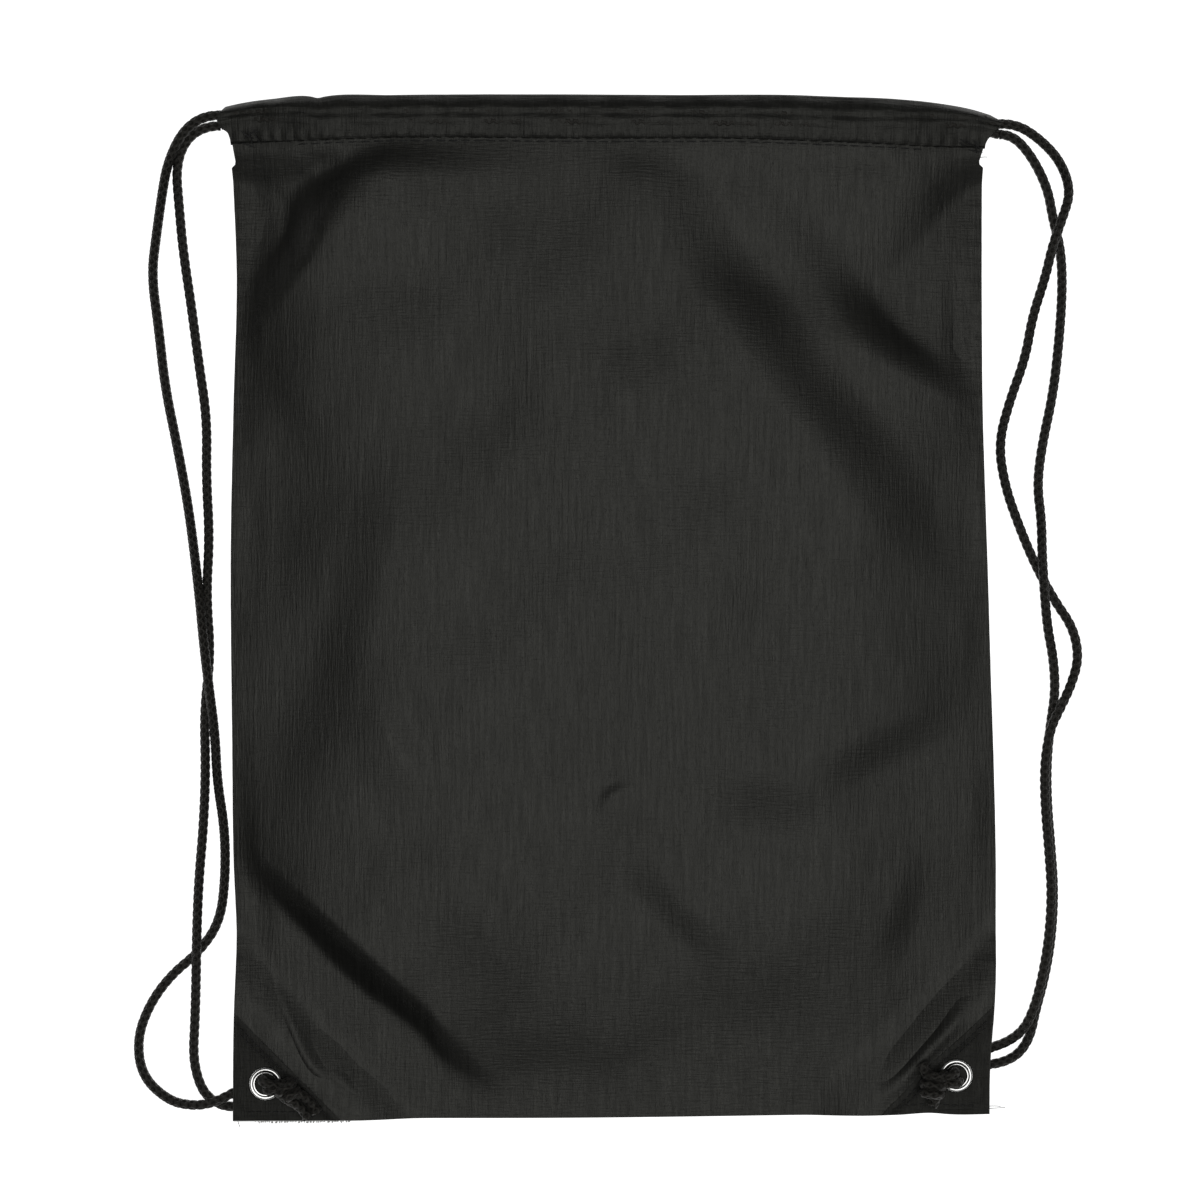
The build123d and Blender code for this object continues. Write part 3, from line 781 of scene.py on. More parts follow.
def spline_points(name, route):
    """Points along the smooth line that a route's points pull."""
    curve = bpy.data.curves.new(name, "CURVE")
    curve.dimensions = "3D"
    spline = curve.splines.new("NURBS")
    spline.points.add(len(route) - 1)
    for point, place in zip(spline.points, route):
        point.co = (*place, 1.0)
    spline.order_u = 3
    spline.use_endpoint_u = True
    spline.resolution_u = 24
    holder = bpy.data.objects.new(name, curve)
    mesh = bpy.data.meshes.new_from_object(holder)
    points = np.array([vert.co[:] for vert in mesh.vertices])
    bpy.data.objects.remove(holder)
    bpy.data.meshes.remove(mesh)
    bpy.data.curves.remove(curve)
    return points


def even_points(points, step):
    """The same line at even steps, and its length."""
    gaps = np.linalg.norm(np.diff(points, axis=0), axis=1)
    along = np.concatenate([[0.0], np.cumsum(gaps)])
    places = np.linspace(0, along[-1], max(3, round(along[-1] / step) + 1))
    line = np.stack([np.interp(places, along, points[:, axis]) for axis in range(3)], axis=1)
    return line, along[-1]


def frames_along(line):
    """Two directions across a line at each point, carried along without twist."""
    ahead = np.gradient(line, axis=0)
    ahead /= np.linalg.norm(ahead, axis=1)[:, None]
    across = np.cross(ahead[0], (0.0, 0.0, 1.0))
    if np.linalg.norm(across) < 0.2:
        across = np.cross(ahead[0], (1.0, 0.0, 0.0))
    sideways = []
    for direction in ahead:
        across = across - direction * direction.dot(across)
        across = across / np.linalg.norm(across)
        sideways.append(across)
    sideways = np.array(sideways)
    return sideways, np.cross(ahead, sideways)


def braid(angle, along, pitch):
    """Height of the braid's ribs, from 0 in the grooves to 1 on top."""
    turns = 4
    first = np.cos(turns * angle + 2 * pi * along / pitch)
    second = np.cos(turns * angle - 2 * pi * along / pitch)
    return np.clip(0.5 + 0.5 * np.maximum(first, second), 0, 1)


def tube_form(form, line, sides, radius):
    """Rings along a line, whose radius may depend on the angle and the share of the way."""
    u, v = flat_grid(form, sides, len(line) - 1)
    ring = np.rint(v * (len(line) - 1)).astype(int)
    across, upward = frames_along(line)
    angle = 2 * pi * u
    reach = np.broadcast_to(radius(angle, v), angle.shape)[:, None]
    place = line[ring] + reach * (
        np.cos(angle)[:, None] * across[ring] + np.sin(angle)[:, None] * upward[ring])
    place_verts(form, *place.T)
    return u, v


def close_tube(form):
    """Joins a tube's rings along their seam and closes both ends."""
    bmesh.ops.remove_doubles(form, verts=form.verts, dist=SAME_PLACE)
    rims = [edge for edge in form.edges if edge.is_boundary]
    bmesh.ops.holes_fill(form, edges=rims, sides=0)


def braided_tube(name, points, step=None, sides=None, diameter=None, end_flare=0.0):
    """A braided cord with its ribs in relief along a line of points."""
    diameter = diameter or cords().diameter
    line, length = even_points(points, step or cords().ring_step)

    def ribs(angle, share):
        return braid(angle, share * length, cords().pitch)

    def radius(angle, share):
        flare = 1 + end_flare * ease((share * length - length + 0.004) / 0.004)
        return (diameter / 2 + cords().relief * (ribs(angle, share) - 0.75)) * flare

    def shape(form):
        u, v = tube_form(form, line, sides or cords().sides, radius)
        # the ribs' height, which the braid's finish turns into painted shade in the grooves and
        # painted highlight on the tops
        relief = form.verts.layers.float.new("height")
        for vert, value in zip(form.verts, ribs(2 * pi * u, v)):
            vert[relief] = value
        write_flat_map(form, u * pi * diameter, v * length)
        close_tube(form)

    return new_piece(name, shape, "cord")


ON_FLOOR = 0.00202  # middle of a cord that lies on the floor
BORE_SHIFT = 0.0022  # the two strands in a bore lie this far from its middle
APART = {"left": (-0.42 * BORE_SHIFT, 0.91 * BORE_SHIFT),
         "right": (-0.40 * BORE_SHIFT, 0.92 * BORE_SHIFT)}
PULL_END = 0.0111  # where a strand ends and its knot begins
ROW_Y = {"left": 0.2172, "right": 0.2134}  # each cord's front run at the tunnel's end
CORD_ROW = 0.0038  # from there to its back run
FRONT_CORD_Z = FRONT_RUN_Z - DROOP - SINK


def bore_place(side_name, sign):
    """X and Y of one of the two strands that share an eyelet's bore."""
    return [EYELETS[side_name][axis] + sign * APART[side_name][axis] for axis in (0, 1)]


STRANDS = {
    # length, side of the eyelet's middle, first X, and the stops: X, Y and, off the floor, Z
    "left_outer_strand": (0.525, 1, 0.1785, metres([
        (-188.2, 210.4, 7), (-195.4, 197, 3), (-198, 183), (-200.4, 165.5), (-202.6, 147.5),
        (-199.4, 124), (-196.6, 98), (-191.2, 72), (-186.4, 46), (-183.4, 23), (-180.8, 3, 4.6),
        (-178.8, -16, 6.6), (-176.4, -36, 6.6), (-174.2, -56, 3.6), (-173.6, -76), (-170.2, -97),
        (-169.9, -118), (-172.2, -138), (-181.5, -151.5), (-193.8, -161.5), (-203.4, -174.5),
        (-209, -190), (-206.8, -206.4), (-195, -217.2, 2.6), (-183.4, -218.8, 6.4),
        (-174.4, -217.4, 6.4), (-165, -212.9, 2.6),
    ])),
    "left_inner_strand": (0.484, -1, 0.1785, metres([
        (-187.6, 207.4), (-191.8, 195.4), (-190.4, 178), (-188.6, 158), (-185, 134), (-181.6, 108),
        (-178, 84), (-178.4, 58), (-176.9, 32), (-178.4, 6), (-176.4, -20), (-179.3, -45),
        (-178.6, -71), (-179.6, -96), (-181.4, -118, 3.2), (-181.9, -140, 6.6),
        (-182.2, -162, 6.6), (-183.2, -182, 3.2), (-184.2, -197.5), (-181.8, -209),
        (-177.4, -216.2), (-169, -220.4), (-159.2, -218.6),
    ])),
    "right_outer_strand": (0.48, 1, 0.1785, metres([
        (188.6, 207.4, 7), (198.8, 198, 3.2), (203.4, 184.4, 4.2), (199.2, 172, 6.8),
        (194.8, 160, 6.8), (192, 146, 3.8), (186.6, 129), (183.6, 111), (176.6, 92), (171.6, 73),
        (174.6, 54), (180.6, 37), (187.4, 20.5), (196.2, 4), (204.6, -8), (207.2, -21.5, 2.6),
        (203.4, -33.5, 4.6), (198.8, -42.5, 6.8), (193.8, -52.5, 6.8), (191.4, -67, 6.2),
        (191.5, -85, 6.2), (193.2, -105, 6.2), (194.6, -125, 6.2), (193.3, -146, 6.2),
        (189.8, -165, 6.2), (186.4, -177, 6), (182.4, -185.6, 4.6), (175.6, -191.2, 2.9),
        (167, -194.2), (159, -198.2),
    ])),
    "right_inner_strand": (0.4605, -1, 0.1776, metres([
        (186.2, 200.4), (193.4, 186), (195.8, 172), (199.4, 158), (199.9, 140), (198.4, 118),
        (195.8, 95), (191, 73), (188.7, 55), (190.4, 39, 4), (190.2, 24, 6.8), (191.2, 8, 6.8),
        (193, -8, 3.6), (196, -22), (196.8, -37), (194.6, -51), (193, -67), (193.1, -85),
        (194.8, -105), (196.2, -125), (195, -146), (191.8, -164), (188, -177.5), (185.8, -188.5),
        (181, -196.4), (173.6, -200.4), (164.6, -201.6),
    ])),
}


def strand_route(node):
    """A strand's points: straight out of its tunnel, past its stops, and up through its eyelet."""
    side_name, place = node.split("_")[:2]
    _, sign, leave, stops = STRANDS[node]
    row, height = ROW_Y[side_name], FRONT_CORD_Z
    if place == "inner":
        row, height = row - CORD_ROW, BACK_CORD_Z
    x, y = bore_place(side_name, sign)
    return (
        [(SIDES[side_name] * start, row, height) for start in (HALF_HEM, leave)]
        + [stop if len(stop) == 3 else (*stop, ON_FLOOR) for stop in stops]
        + [(x, y, ON_FLOOR), (x, y, PULL_END)])


# ---------------------------------------------------------------- the pieces

class BACKPACK_OT_stage(bpy.types.Operator):
    """Sets up the camera, the soft light and the pale floor"""
    bl_idname = "backpack.stage"
    bl_label = "Camera, light and floor"

    def execute(self, context):
        view = bpy.data.cameras.new("camera")
        view.lens = stage().lens
        view.sensor_width = 36.0
        view.clip_start = 0.01
        view.clip_end = 50.0
        camera = bpy.data.objects.new("camera", view)
        camera.location = (-0.0044, 0.0040, stage().camera_height)
        context.scene.collection.objects.link(camera)
        context.scene.camera = camera

        lamp = bpy.data.lights.new("overhead_softbox", "AREA")
        lamp.shape = "SQUARE"
        lamp.size = 1.5
        lamp.energy = stage().key_power
        overhead = bpy.data.objects.new("overhead_softbox", lamp)
        overhead.location = (0.12, -0.16, 1.8)
        overhead.visible_camera = False
        context.scene.collection.objects.link(overhead)

        def wide(form):
            bmesh.ops.create_grid(form, x_segments=1, y_segments=1, size=6.0)
            bmesh.ops.translate(form, verts=form.verts, vec=(0.0, 0.0, -0.0004))

        MATERIALS["floor"] = Graph("pale_floor").finish(
            Base_Color=(0.86, 0.86, 0.86, 1.0), Roughness=0.9, Specular_IOR_Level=0.0,
            Emission_Color=WHITE, Emission_Strength=stage().floor_glow)
        new_piece("floor", wide, "floor", smooth=False)

        # the lens sees a white studio, and the bag is lit by a dim one
        world = bpy.data.worlds.new("studio")
        context.scene.world = world
        world.use_nodes = True
        nodes = world.node_tree.nodes
        links = world.node_tree.links
        choose = nodes.new("ShaderNodeMixShader")
        path = nodes.new("ShaderNodeLightPath")
        links.new(path.outputs["Is Camera Ray"], choose.inputs[0])
        dim, seen = nodes["Background"], nodes.new("ShaderNodeBackground")
        for index, (light, strength) in enumerate(((dim, 0.075), (seen, 1.0))):
            light.inputs["Color"].default_value = WHITE
            light.inputs["Strength"].default_value = strength
            links.new(light.outputs[0], choose.inputs[index + 1])
        links.new(choose.outputs[0], nodes["World Output"].inputs["Surface"])
        context.scene.view_settings.view_transform = "Standard"
        context.scene.view_settings.look = "None"
        return {"FINISHED"}


class BACKPACK_OT_strands(bpy.types.Operator):
    """Lays the four free strands of the drawcords beside the bag"""
    bl_idname = "backpack.strands"
    bl_label = "Free strands"

    def execute(self, context):
        for node, (length, *_) in STRANDS.items():
            route = strand_route(node)
            points = spline_points(node, route)
            strand = braided_tube(f"{node}_braid", points)
            settle(strand, node)
            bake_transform(strand)
        return {"FINISHED"}


class BACKPACK_OT_tunnel_cords(bpy.types.Operator):
    """Runs each drawcord through both hem tunnels and round at the far end"""
    bl_idname = "backpack.tunnel_cords"
    bl_label = "Cords in the tunnels"

    def execute(self, context):
        for side_name, side in SIDES.items():
            near, far = (0.62, 0.40) if side_name == "left" else (0.40, 0.62)
            low = 0.5 * (near + far)
            stops = [0.160, 0.140, 0.110, 0.0, -0.110, -0.140, -0.160]
            turn_y = [cord_place(side * stops[-1], share, BACK_CORD_Z)[1]
                      for share in (near, low, far)]
            route = [(side * HALF_HEM, ROW_Y[side_name], FRONT_CORD_Z)]
            route += [cord_place(side * stop, near, FRONT_RUN_Z) for stop in stops]
            route += [(-side * 0.1668, turn_y[0], 0.0074), (-side * 0.1680, turn_y[1], 0.0052),
                      (-side * 0.1668, turn_y[2], 0.0030)]
            route += [cord_place(side * stop, near - 0.02, BACK_CORD_Z) for stop in stops[::-1]]
            route += [(side * HALF_HEM, ROW_Y[side_name] - CORD_ROW, BACK_CORD_Z)]
            node = f"{side_name}_drawcord_in_tunnels"
            cord = braided_tube(f"{node}_braid", spline_points(node, route), step=0.0006, sides=18)
            settle(cord, node, f"{side_name}_cord")
        return {"FINISHED"}


class BACKPACK_OT_panels(bpy.types.Operator):
    """Lays out the two cloth panels with their folds and lifted corners"""
    bl_idname = "backpack.panels"
    bl_label = "Cloth panels"

    def execute(self, context):
        for side_name in SIDES:
            for face_name, face, columns, rows in (
                    ("front", front_height, 116, 300), ("back", back_height, 64, 170)):
                name = f"{face_name}_cloth_{side_name}"
                piece = cloth_half(name, side_name, face, columns, rows, "cloth")
                face_up(piece, face_name == "front")
                thicken(piece, bag().cloth_thickness)
                settle(piece, f"{face_name}_panel")
                swing(piece)
        return {"FINISHED"}


class BACKPACK_OT_tunnels(bpy.types.Operator):
    """Turns over the hems into the two tunnels that hold the cords"""
    bl_idname = "backpack.tunnels"
    bl_label = "Hem tunnels"

    def execute(self, context):
        for side_name in SIDES:
            for face_name in ("front", "back"):
                name = f"{face_name}_tunnel_{side_name}"
                piece = tunnel_half(name, side_name, face_name == "front", 260, 48, "hem")
                settle(piece, f"{face_name}_hem_tunnel")
                swing(piece)
        return {"FINISHED"}


def corner_sheet(name, side_name, leg, height, material, out, crease, steps=46):
    """A triangle of cloth that lies in a bottom corner, with its long edge on the diagonal."""
    side = SIDES[side_name]

    def shape(form):
        u, v = flat_grid(form, steps, steps)
        place_verts(form, u * leg, v * leg, 0 * u)
        bmesh.ops.bisect_plane(
            form, geom=form.verts[:] + form.edges[:] + form.faces[:], dist=0.00001,
            plane_co=(leg, 0.0, 0.0), plane_no=(1.0, 1.0, 0.0), clear_outer=True)
        form.verts.ensure_lookup_table()
        form.verts.index_update()
        a = np.array([vert.co.x for vert in form.verts])
        b = np.array([vert.co.y for vert in form.verts])
        x = side * (edge_x(side_name, BOTTOM + b) - 0.0004 - a)
        low = bottom_y(x)
        y = low + 0.0003 + b - out * np.exp(-b / 0.0004)
        wave = np.sin(2 * pi * (a - b) / 0.0072) * np.exp(-((leg - a - b) / 0.0035) ** 2)
        crumple = np.sin(430 * a + 3 * np.sin(160 * b)) * np.sin(390 * b + 2 * np.sin(210 * a))
        lift = crease * (fold_edge(a, b, leg) + 0.3 * (crumple + wave))
        place_verts(form, x, y, height + lift)
        write_flat_map(form, x, y)

    return new_piece(name, shape, material)


def fold_edge(a, b, leg):
    """Rounded rise of a turned-under edge along the diagonal."""
    inside = (leg - a - b) / sqrt(2)
    return np.exp(-((inside - 0.0016) / 0.0018) ** 2)


class BACKPACK_OT_corners(bpy.types.Operator):
    """Sews the doubled corner patches and their stiffener into the bottom corners"""
    bl_idname = "backpack.corners"
    bl_label = "Corner patches"

    def execute(self, context):
        leg = bag().patch_leg
        for side_name in SIDES:
            sheets = (
                # name, node, face, shrink, height, finish, thickness, crease, how far it shows
                (f"front_{side_name}_patch", f"front_{side_name}_corner_patch", "front",
                 0, PATCH_TOP - 0.0001, "patch", 0.0004, 0.0004, 0.0),
                (f"back_{side_name}_patch", f"back_{side_name}_corner_patch", "back",
                 0, BACK_PLATE - 0.0004, "patch", 0.0003, 0.0004, 0.0),
                (f"{side_name}_lining", f"{side_name}_corner_interlining", "front",
                 0.003, PLATE + 0.00002, "interlining", 0.00025, 0.0,
                 0.0004 if side_name == "left" else 0.0),
            )
            for name, node, face_name, shrink, height, finish, thickness, crease, out in sheets:
                piece = corner_sheet(name, side_name, leg - shrink, height, finish, out, crease)
                face_up(piece, face_name == "front")
                thicken(piece, thickness)
                settle(piece, node,
                       f"{side_name}_edge")
        return {"FINISHED"}


def spun_ring(name, centre, outline, material, steps=72):
    """A ring turned from a closed outline of (radius, height) points."""

    def shape(form):
        verts = [form.verts.new((radius, 0.0, height)) for radius, height in outline]
        edges = [form.edges.new(pair) for pair in zip(verts, verts[1:] + verts[:1])]
        bmesh.ops.spin(
            form, geom=verts + edges, cent=(0, 0, 0), axis=(0, 0, 1), dvec=(0, 0, 0),
            angle=2 * pi, steps=steps, use_merge=True, use_duplicate=False)
        bmesh.ops.remove_doubles(form, verts=form.verts, dist=SAME_PLACE)
        bmesh.ops.translate(form, verts=form.verts, vec=(centre.x, centre.y, 0))

    return new_piece(name, shape, material)


class BACKPACK_OT_eyelets(bpy.types.Operator):
    """Sets a two-part nickel eyelet in each bottom corner"""
    bl_idname = "backpack.eyelets"
    bl_label = "Eyelets"

    def execute(self, context):
        for side_name, place in EYELETS.items():
            bore = eyelets().bore / 2
            outer = eyelets().outer / 2
            low, high = (corner.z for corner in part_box(f"{side_name}_eyelet"))
            face = PATCH_TOP
            ring = spun_ring(f"{side_name}_eyelet_ring", place, [
                (bore, low), (bore, face + 0.0004), (bore + 0.00012, face + 0.0007),
                (bore + 0.00045, face + 0.00085), (bore + 0.00075, face + 0.0007),
                (bore + 0.0009, face + 0.00095), (bore + 0.0013, high - 0.0002),
                (bore + 0.0018, high - 0.00003), (bore + 0.0022, high - 0.00018),
                (bore + 0.0026, high - 0.0006), (outer - 0.0002, face + 0.0004),
                (outer, face + 0.00015), (outer - 0.0001, face - 0.0001), (outer - 0.0004, face),
                (outer - 0.0009, face + 0.0003), (bore + 0.0012, face + 0.0003),
                (bore + 0.0004, face + 0.0001), (bore + 0.0004, low)], "nickel")
            low, high = (corner.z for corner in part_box(f"{side_name}_eyelet_washer"))
            washer = spun_ring(f"{side_name}_washer_ring", place, [
                (bore + 0.0004, low + 0.0001), (bore + 0.0007, low), (bore + 0.0016, low + 0.0002),
                (bore + 0.0024, low + 0.0004), (outer - 0.0002, high - 0.0002),
                (outer, high - 0.0001), (outer - 0.0001, high), (bore + 0.0004, high)], "nickel")
            for piece, node in ((ring, "eyelet"), (washer, "eyelet_washer")):
                settle(piece, f"{side_name}_{node}", f"{side_name}_edge")
        return {"FINISHED"}


def wound(centre, angle, radius, length, turns, start, flat=1.0):
    """Points of a cord wound round a lying core: centre, heading in degrees, turns."""
    heading = np.array([cos(radians(angle)), sin(radians(angle)), 0.0])
    aside = np.array([-heading[1], heading[0], 0.0])
    points = []
    for step in range(int(turns * 10) + 1):
        t = step / 10
        phase = 2 * pi * t + start
        offset = (t / turns - 0.5) * length
        points.append(tuple(
            np.array(centre) + heading * offset + aside * radius * cos(phase)
            + np.array([0, 0, 1]) * radius * flat * sin(phase)))
    return points


KNOTS = {
    "left": {
        "wraps": ((-0.1418, -0.2098, 0.0148), -66, 0.0039, 0.0072, 1.9, 2.6, 0.85),
        "tails": [
            ((-0.1440, -0.2075, 0.0150), (-0.1394, -0.2106, 0.0158), (-0.1342, -0.2130, 0.0146),
             (-0.1306, -0.2166, 0.0126), (-0.1287, -0.2206, 0.0117)),
            ((-0.1450, -0.2110, 0.0150), (-0.1420, -0.2140, 0.0152), (-0.1380, -0.2160, 0.0140),
             (-0.1342, -0.2194, 0.0124), (-0.1322, -0.2231, 0.0117)),
        ],
    },
    "right": {
        "wraps": ((0.1416, -0.2076, 0.0146), 72, 0.0043, 0.0100, 2.6, 0.4, 0.72),
        "tails": [
            ((0.1430, -0.2085, 0.0150), (0.1400, -0.2050, 0.0156), (0.1372, -0.2012, 0.0138),
             (0.1366, -0.1994, 0.0130)),
            ((0.1430, -0.2085, 0.0150), (0.1430, -0.2125, 0.0150), (0.1418, -0.2155, 0.0134),
             (0.1410, -0.2170, 0.0128)),
        ],
    },
}


class BACKPACK_OT_knots(bpy.types.Operator):
    """Ties each pair of strands into a stopper knot over its eyelet"""
    bl_idname = "backpack.knots"
    bl_label = "Stopper knots"

    def execute(self, context):
        for side_name, plan in KNOTS.items():
            node = f"{side_name}_knot"
            centre = np.array(plan["wraps"][0])
            wraps = spline_points(node, wound(*plan["wraps"]))
            pieces = [braided_tube(f"{node}_wraps_1", wraps)]
            for index, sign in enumerate((1, -1)):
                x, y = bore_place(side_name, sign)
                towards = centre - np.array([x, y, centre[2]])
                towards = towards / np.linalg.norm(towards)
                route = [
                    (x, y, PULL_END), (x, y, 0.0140),
                    (x + towards[0] * 0.0026, y + towards[1] * 0.0026, 0.0166),
                    (x + towards[0] * 0.0060, y + towards[1] * 0.0060, 0.0160),
                    tuple(centre + np.array([0, sign * 0.0008, 0.0])),
                ]
                standing = spline_points(node, route)
                pieces.append(braided_tube(f"{node}_standing_{index + 1}", standing))
            for index, route in enumerate(plan["tails"]):
                pieces.append(braided_tube(
                    f"{node}_tail_{index + 1}", spline_points(node, list(route)),
                    diameter=0.0044, end_flare=0.18))
            for piece in pieces:
                settle(piece, node if piece is pieces[0] else None, node)
        return {"FINISHED"}


def stitch_row(name, places, material="thread"):
    """Many short stitches, each from one place to another, bowed up in the middle."""

    def shape(form):
        for start, end in places:
            start, end = Vector(start), Vector(end)
            run = end - start
            made = bmesh.ops.create_uvsphere(form, u_segments=6, v_segments=5, radius=0.5)["verts"]
            turn = run.to_track_quat("Z", "Y").to_matrix().to_4x4()
            size = Matrix.Diagonal((bag().thread, bag().thread, run.length, 1.0))
            middle_point = Matrix.Translation((start + end) / 2)
            bmesh.ops.transform(form, matrix=middle_point @ turn @ size, verts=made)

    return new_piece(name, shape, material)


def at_place(height, x, y):
    """A cloth's height at one place."""
    return float(height(np.array([x]), np.array([y]))[0])


def hem_places(side, height, over):
    """Stitches of one half of a hem row, a little over the cloth."""
    pitch, reach = bag().stitch_pitch, bag().stitch_length / 2
    places = []
    for index in range(int(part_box("front_hem_stitches")[1].x / pitch) + 1):
        middle_x = side * (index + 0.5) * pitch
        ends = [(x, float(hem_y(x)) - 0.0011) for x in (middle_x - reach, middle_x + reach)]
        places.append([(x, y, at_place(height, x, y) + over) for x, y in ends])
    return places


def corner_places(side_name):
    """Stitches of one corner patch: two rows along its fold and one along the bottom."""
    side, leg = SIDES[side_name], bag().patch_leg
    pitch, reach = 0.0032, 0.00105
    places = []
    for inset in (0.0026, 0.0046):
        run = leg - inset * sqrt(2)
        for index in range(1, int(run * sqrt(2) / pitch) - 1):
            ends = []
            for offset in (-reach, reach):
                t = ((index + 0.5) * pitch + offset) / (run * sqrt(2))
                a, b = run * t, run * (1 - t)
                x = side * (float(edge_x(side_name, BOTTOM + b)) - 0.0004 - a)
                rise = 0.0004 * float(fold_edge(a, b, leg))
                ends.append((x, float(bottom_y(x)) + 0.0003 + b, PATCH_TOP + 0.00022 + rise))
            places.append(ends)
    for index in range(9):
        x = side * (float(edge_x(side_name, BOTTOM)) - (leg - 0.0100 - index * 0.0036))
        y = float(bottom_y(x)) + 0.0042
        places.append([(x + offset, y, PATCH_TOP + 0.0002) for offset in (-0.0014, 0.0014)])
    return places


def seam_places(node):
    """Stitches of one side seam, between its two cloths."""
    pitch, reach = bag().stitch_pitch, bag().stitch_length / 2
    low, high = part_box(node)
    x = (low.x + high.x) / 2
    middles = [low.y + (index + 0.5) * pitch for index in range(int((high.y - low.y) / pitch))]
    return [[(x, y - reach, 0.0006), (x, y + reach, 0.0006)] for y in middles]


class BACKPACK_OT_stitches(bpy.types.Operator):
    """Sews the hems, the side seams and the corner patches"""
    bl_idname = "backpack.stitches"
    bl_label = "Stitches"

    def execute(self, context):
        for side_name, side in SIDES.items():
            for face_name, height, over in (
                    ("front", front_height, 0.00022), ("back", back_height, 0.0)):
                row = stitch_row(
                    f"{face_name}_hem_row_{side_name}", hem_places(side, height, over))
                settle(row, f"{face_name}_hem_stitches")
                swing(row)
            node = f"{side_name}_corner_stitches"
            row = stitch_row(f"{side_name}_corner_row", corner_places(side_name))
            settle(row, node, f"{side_name}_edge")
            node = f"{side_name}_seam_stitches"
            row = stitch_row(f"{side_name}_seam_row", seam_places(node))
            settle(row, node, f"{side_name}_edge")
        return {"FINISHED"}


class BACKPACK_OT_seams(bpy.types.Operator):
    """Folds the seam allowance inside each side edge"""
    bl_idname = "backpack.seams"
    bl_label = "Side seam allowance"

    def execute(self, context):
        for side_name in SIDES:
            node = f"{side_name}_side_seam"
            low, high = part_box(node)

            def shape(form):
                u, v = flat_grid(form, 8, 160)
                fray = 0.0003 * np.sin(v * 410) + 0.0002 * np.sin(v * 977 + 1)
                inner = u if SIDES[side_name] < 0 else 1 - u
                x = low.x + u * (high.x - low.x) + fray * (inner > 0.99)
                y = low.y + v * (high.y - low.y)
                place_verts(form, x, y, 0.00084 + 0.00004 * np.sin(y * 300))
                write_flat_map(form, x, y)

            piece = new_piece(f"{node}_fold", shape, "cloth")
            face_up(piece)
            thicken(piece, 0.0005)
            settle(piece, node, f"{side_name}_edge")
        return {"FINISHED"}


TACKS = {  # each stitch at a tunnel's end: X and Y of its start and end
    "left": metres([
        (-162.5, 209.8, -156.0, 206.2), (-161.0, 206.4, -154.8, 210.0),
        (-159.0, 210.8, -156.6, 203.4), (-156.6, 209.2, -153.2, 204.4),
        (-162.2, 205.0, -156.0, 202.8), (-157.4, 210.4, -153.8, 208.8)]),
    "right": metres([
        (153.0, 206.2, 159.0, 203.6), (156.6, 205.2, 162.2, 202.2), (158.8, 206.2, 164.0, 200.4),
        (153.0, 204.8, 156.6, 203.0), (160.2, 205.8, 161.4, 200.2), (157.4, 202.0, 163.2, 200.8)]),
}
THREAD_ENDS = {  # loose ends of thread
    "left": [metres([(-164.0, -224.4, 8.0), (-163.4, -226.2, 7.8), (-162.9, -227.8, 7.0)])],
    "right": [
        metres([(165.5, -218.6, 8.5), (169.0, -218.2, 8.6), (171.8, -218.7, 8.0)]),
        metres([(165.5, -219.6, 8.5), (169.6, -219.3, 8.2), (174.0, -219.4, 7.2)]),
        metres([(161.8, 198.5, 6.0), (164.0, 199.3, 6.4), (166.2, 199.1, 5.8)]),
    ],
}


def on_tunnel(x, y):
    """A point just over the front tunnel."""
    across = (y - float(hem_y(x))) / (float(top_y(x)) - float(hem_y(x)))
    _, shares, heights = zip(*SECTION[:11])
    lift = max(float(np.interp(across, shares, heights)), 0.0004)
    return (x, y, TUNNEL_LOW.z - float(droop(x)) + lift + 0.0002)


def lint_places(count=70):
    """Short fibres of the left lining that show under the bottom edge."""
    fibres = []
    for index in range(count):
        wobble = sin(index * 12.9898) * 43758.5453
        chance = wobble - floor(wobble)
        x = -0.1555 + 0.0415 * index / count + 0.0006 * chance
        y = float(bottom_y(x)) - 0.0001 - 0.0007 * chance
        end_x = x + 0.0010 * (chance - 0.5)
        fibres.append([(x, y + 0.0006, PLATE + 0.0001), (end_x, y - 0.0003, PLATE - 0.0002)])
    return fibres


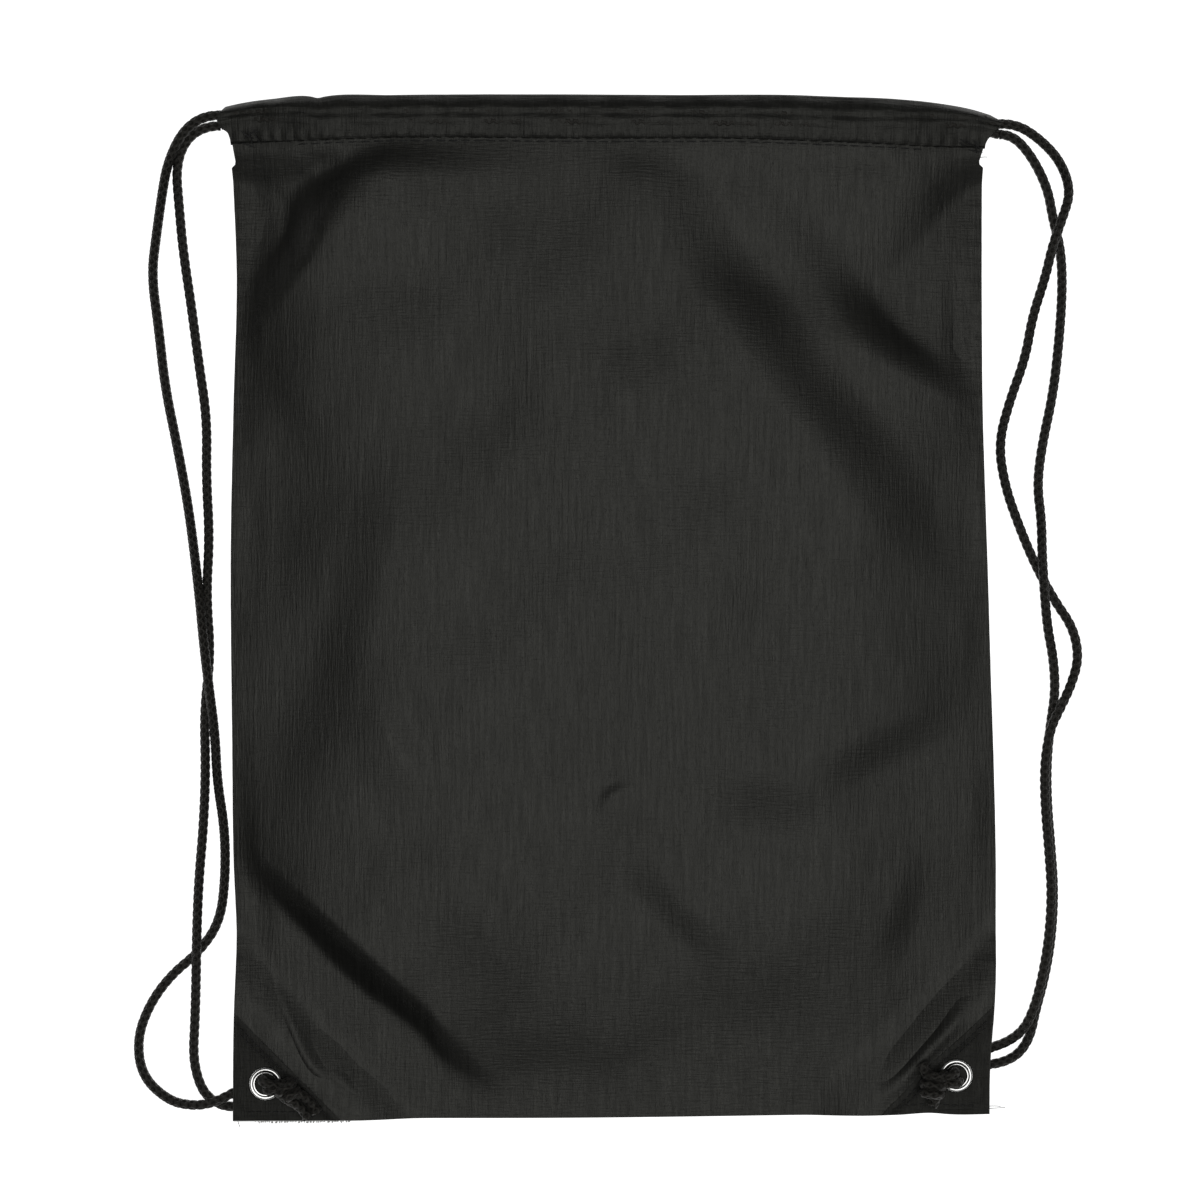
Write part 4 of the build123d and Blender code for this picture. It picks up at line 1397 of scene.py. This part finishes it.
class BACKPACK_OT_tacks(bpy.types.Operator):
    """Works the bar tacks at the tunnels' ends and leaves the loose thread ends"""
    bl_idname = "backpack.tacks"
    bl_label = "Tacks and thread ends"

    def execute(self, context):
        for side_name in SIDES:
            places = [[on_tunnel(*tack[:2]), on_tunnel(*tack[2:])] for tack in TACKS[side_name]]
            row = stitch_row(f"{side_name}_tacks", places)
            settle(row, f"{side_name}_end_tacks", f"{side_name}_edge")
            if side_name == "left":
                lint = stitch_row("left_lint", lint_places(), "interlining")
                settle(lint, body="left_edge")
            for index, route in enumerate(THREAD_ENDS[side_name]):
                line, _ = even_points(spline_points("tail", route), 0.0003)

                def shape(form):
                    tube_form(form, line, 6, lambda angle, share: 0.00014)
                    close_tube(form)

                piece = new_piece(f"{side_name}_thread_end_{index + 1}", shape, "thread")
                settle(piece, body=f"{side_name}_edge")
        return {"FINISHED"}


class BACKPACK_PT_panel(bpy.types.Panel):
    """Lists the backpack's pieces and sizes"""
    bl_idname = "BACKPACK_PT_panel"
    bl_label = "Drawstring Backpack"
    bl_space_type = "VIEW_3D"
    bl_region_type = "UI"
    bl_category = "Backpack"

    def draw(self, context):
        for title, settings in (
                ("Bag", bag()), ("Cords", cords()), ("Eyelets", eyelets()), ("Stage", stage())):
            box = self.layout.box()
            box.label(text=title)
            for name in settings.bl_rna.properties.keys():
                if name not in ("rna_type", "name"):
                    box.prop(settings, name)
        for operator in OPERATORS:
            self.layout.operator(operator.bl_idname)


OPERATORS = (
    BACKPACK_OT_stage,
    BACKPACK_OT_strands,
    BACKPACK_OT_tunnel_cords,
    BACKPACK_OT_panels,
    BACKPACK_OT_tunnels,
    BACKPACK_OT_corners,
    BACKPACK_OT_eyelets,
    BACKPACK_OT_knots,
    BACKPACK_OT_stitches,
    BACKPACK_OT_seams,
    BACKPACK_OT_tacks,
)
SETTINGS = {
    "backpack_bag": BagSettings,
    "backpack_cords": CordSettings,
    "backpack_eyelets": EyeletSettings,
    "backpack_stage": StageSettings,
}


def register():
    """Adds the settings, operators and panel."""
    for name, group in SETTINGS.items():
        bpy.utils.register_class(group)
        setattr(bpy.types.Scene, name, PointerProperty(type=group))
    for operator in OPERATORS:
        bpy.utils.register_class(operator)
    bpy.utils.register_class(BACKPACK_PT_panel)


def unregister():
    """Takes them away again."""
    bpy.utils.unregister_class(BACKPACK_PT_panel)
    for operator in reversed(OPERATORS):
        bpy.utils.unregister_class(operator)
    for name, group in SETTINGS.items():
        delattr(bpy.types.Scene, name)
        bpy.utils.unregister_class(group)


def main():
    """Makes every piece."""
    register()
    make_materials()
    for operator in OPERATORS:
        group, name = operator.bl_idname.split(".")
        getattr(getattr(bpy.ops, group), name)()


if __name__ == "__main__":
    main()
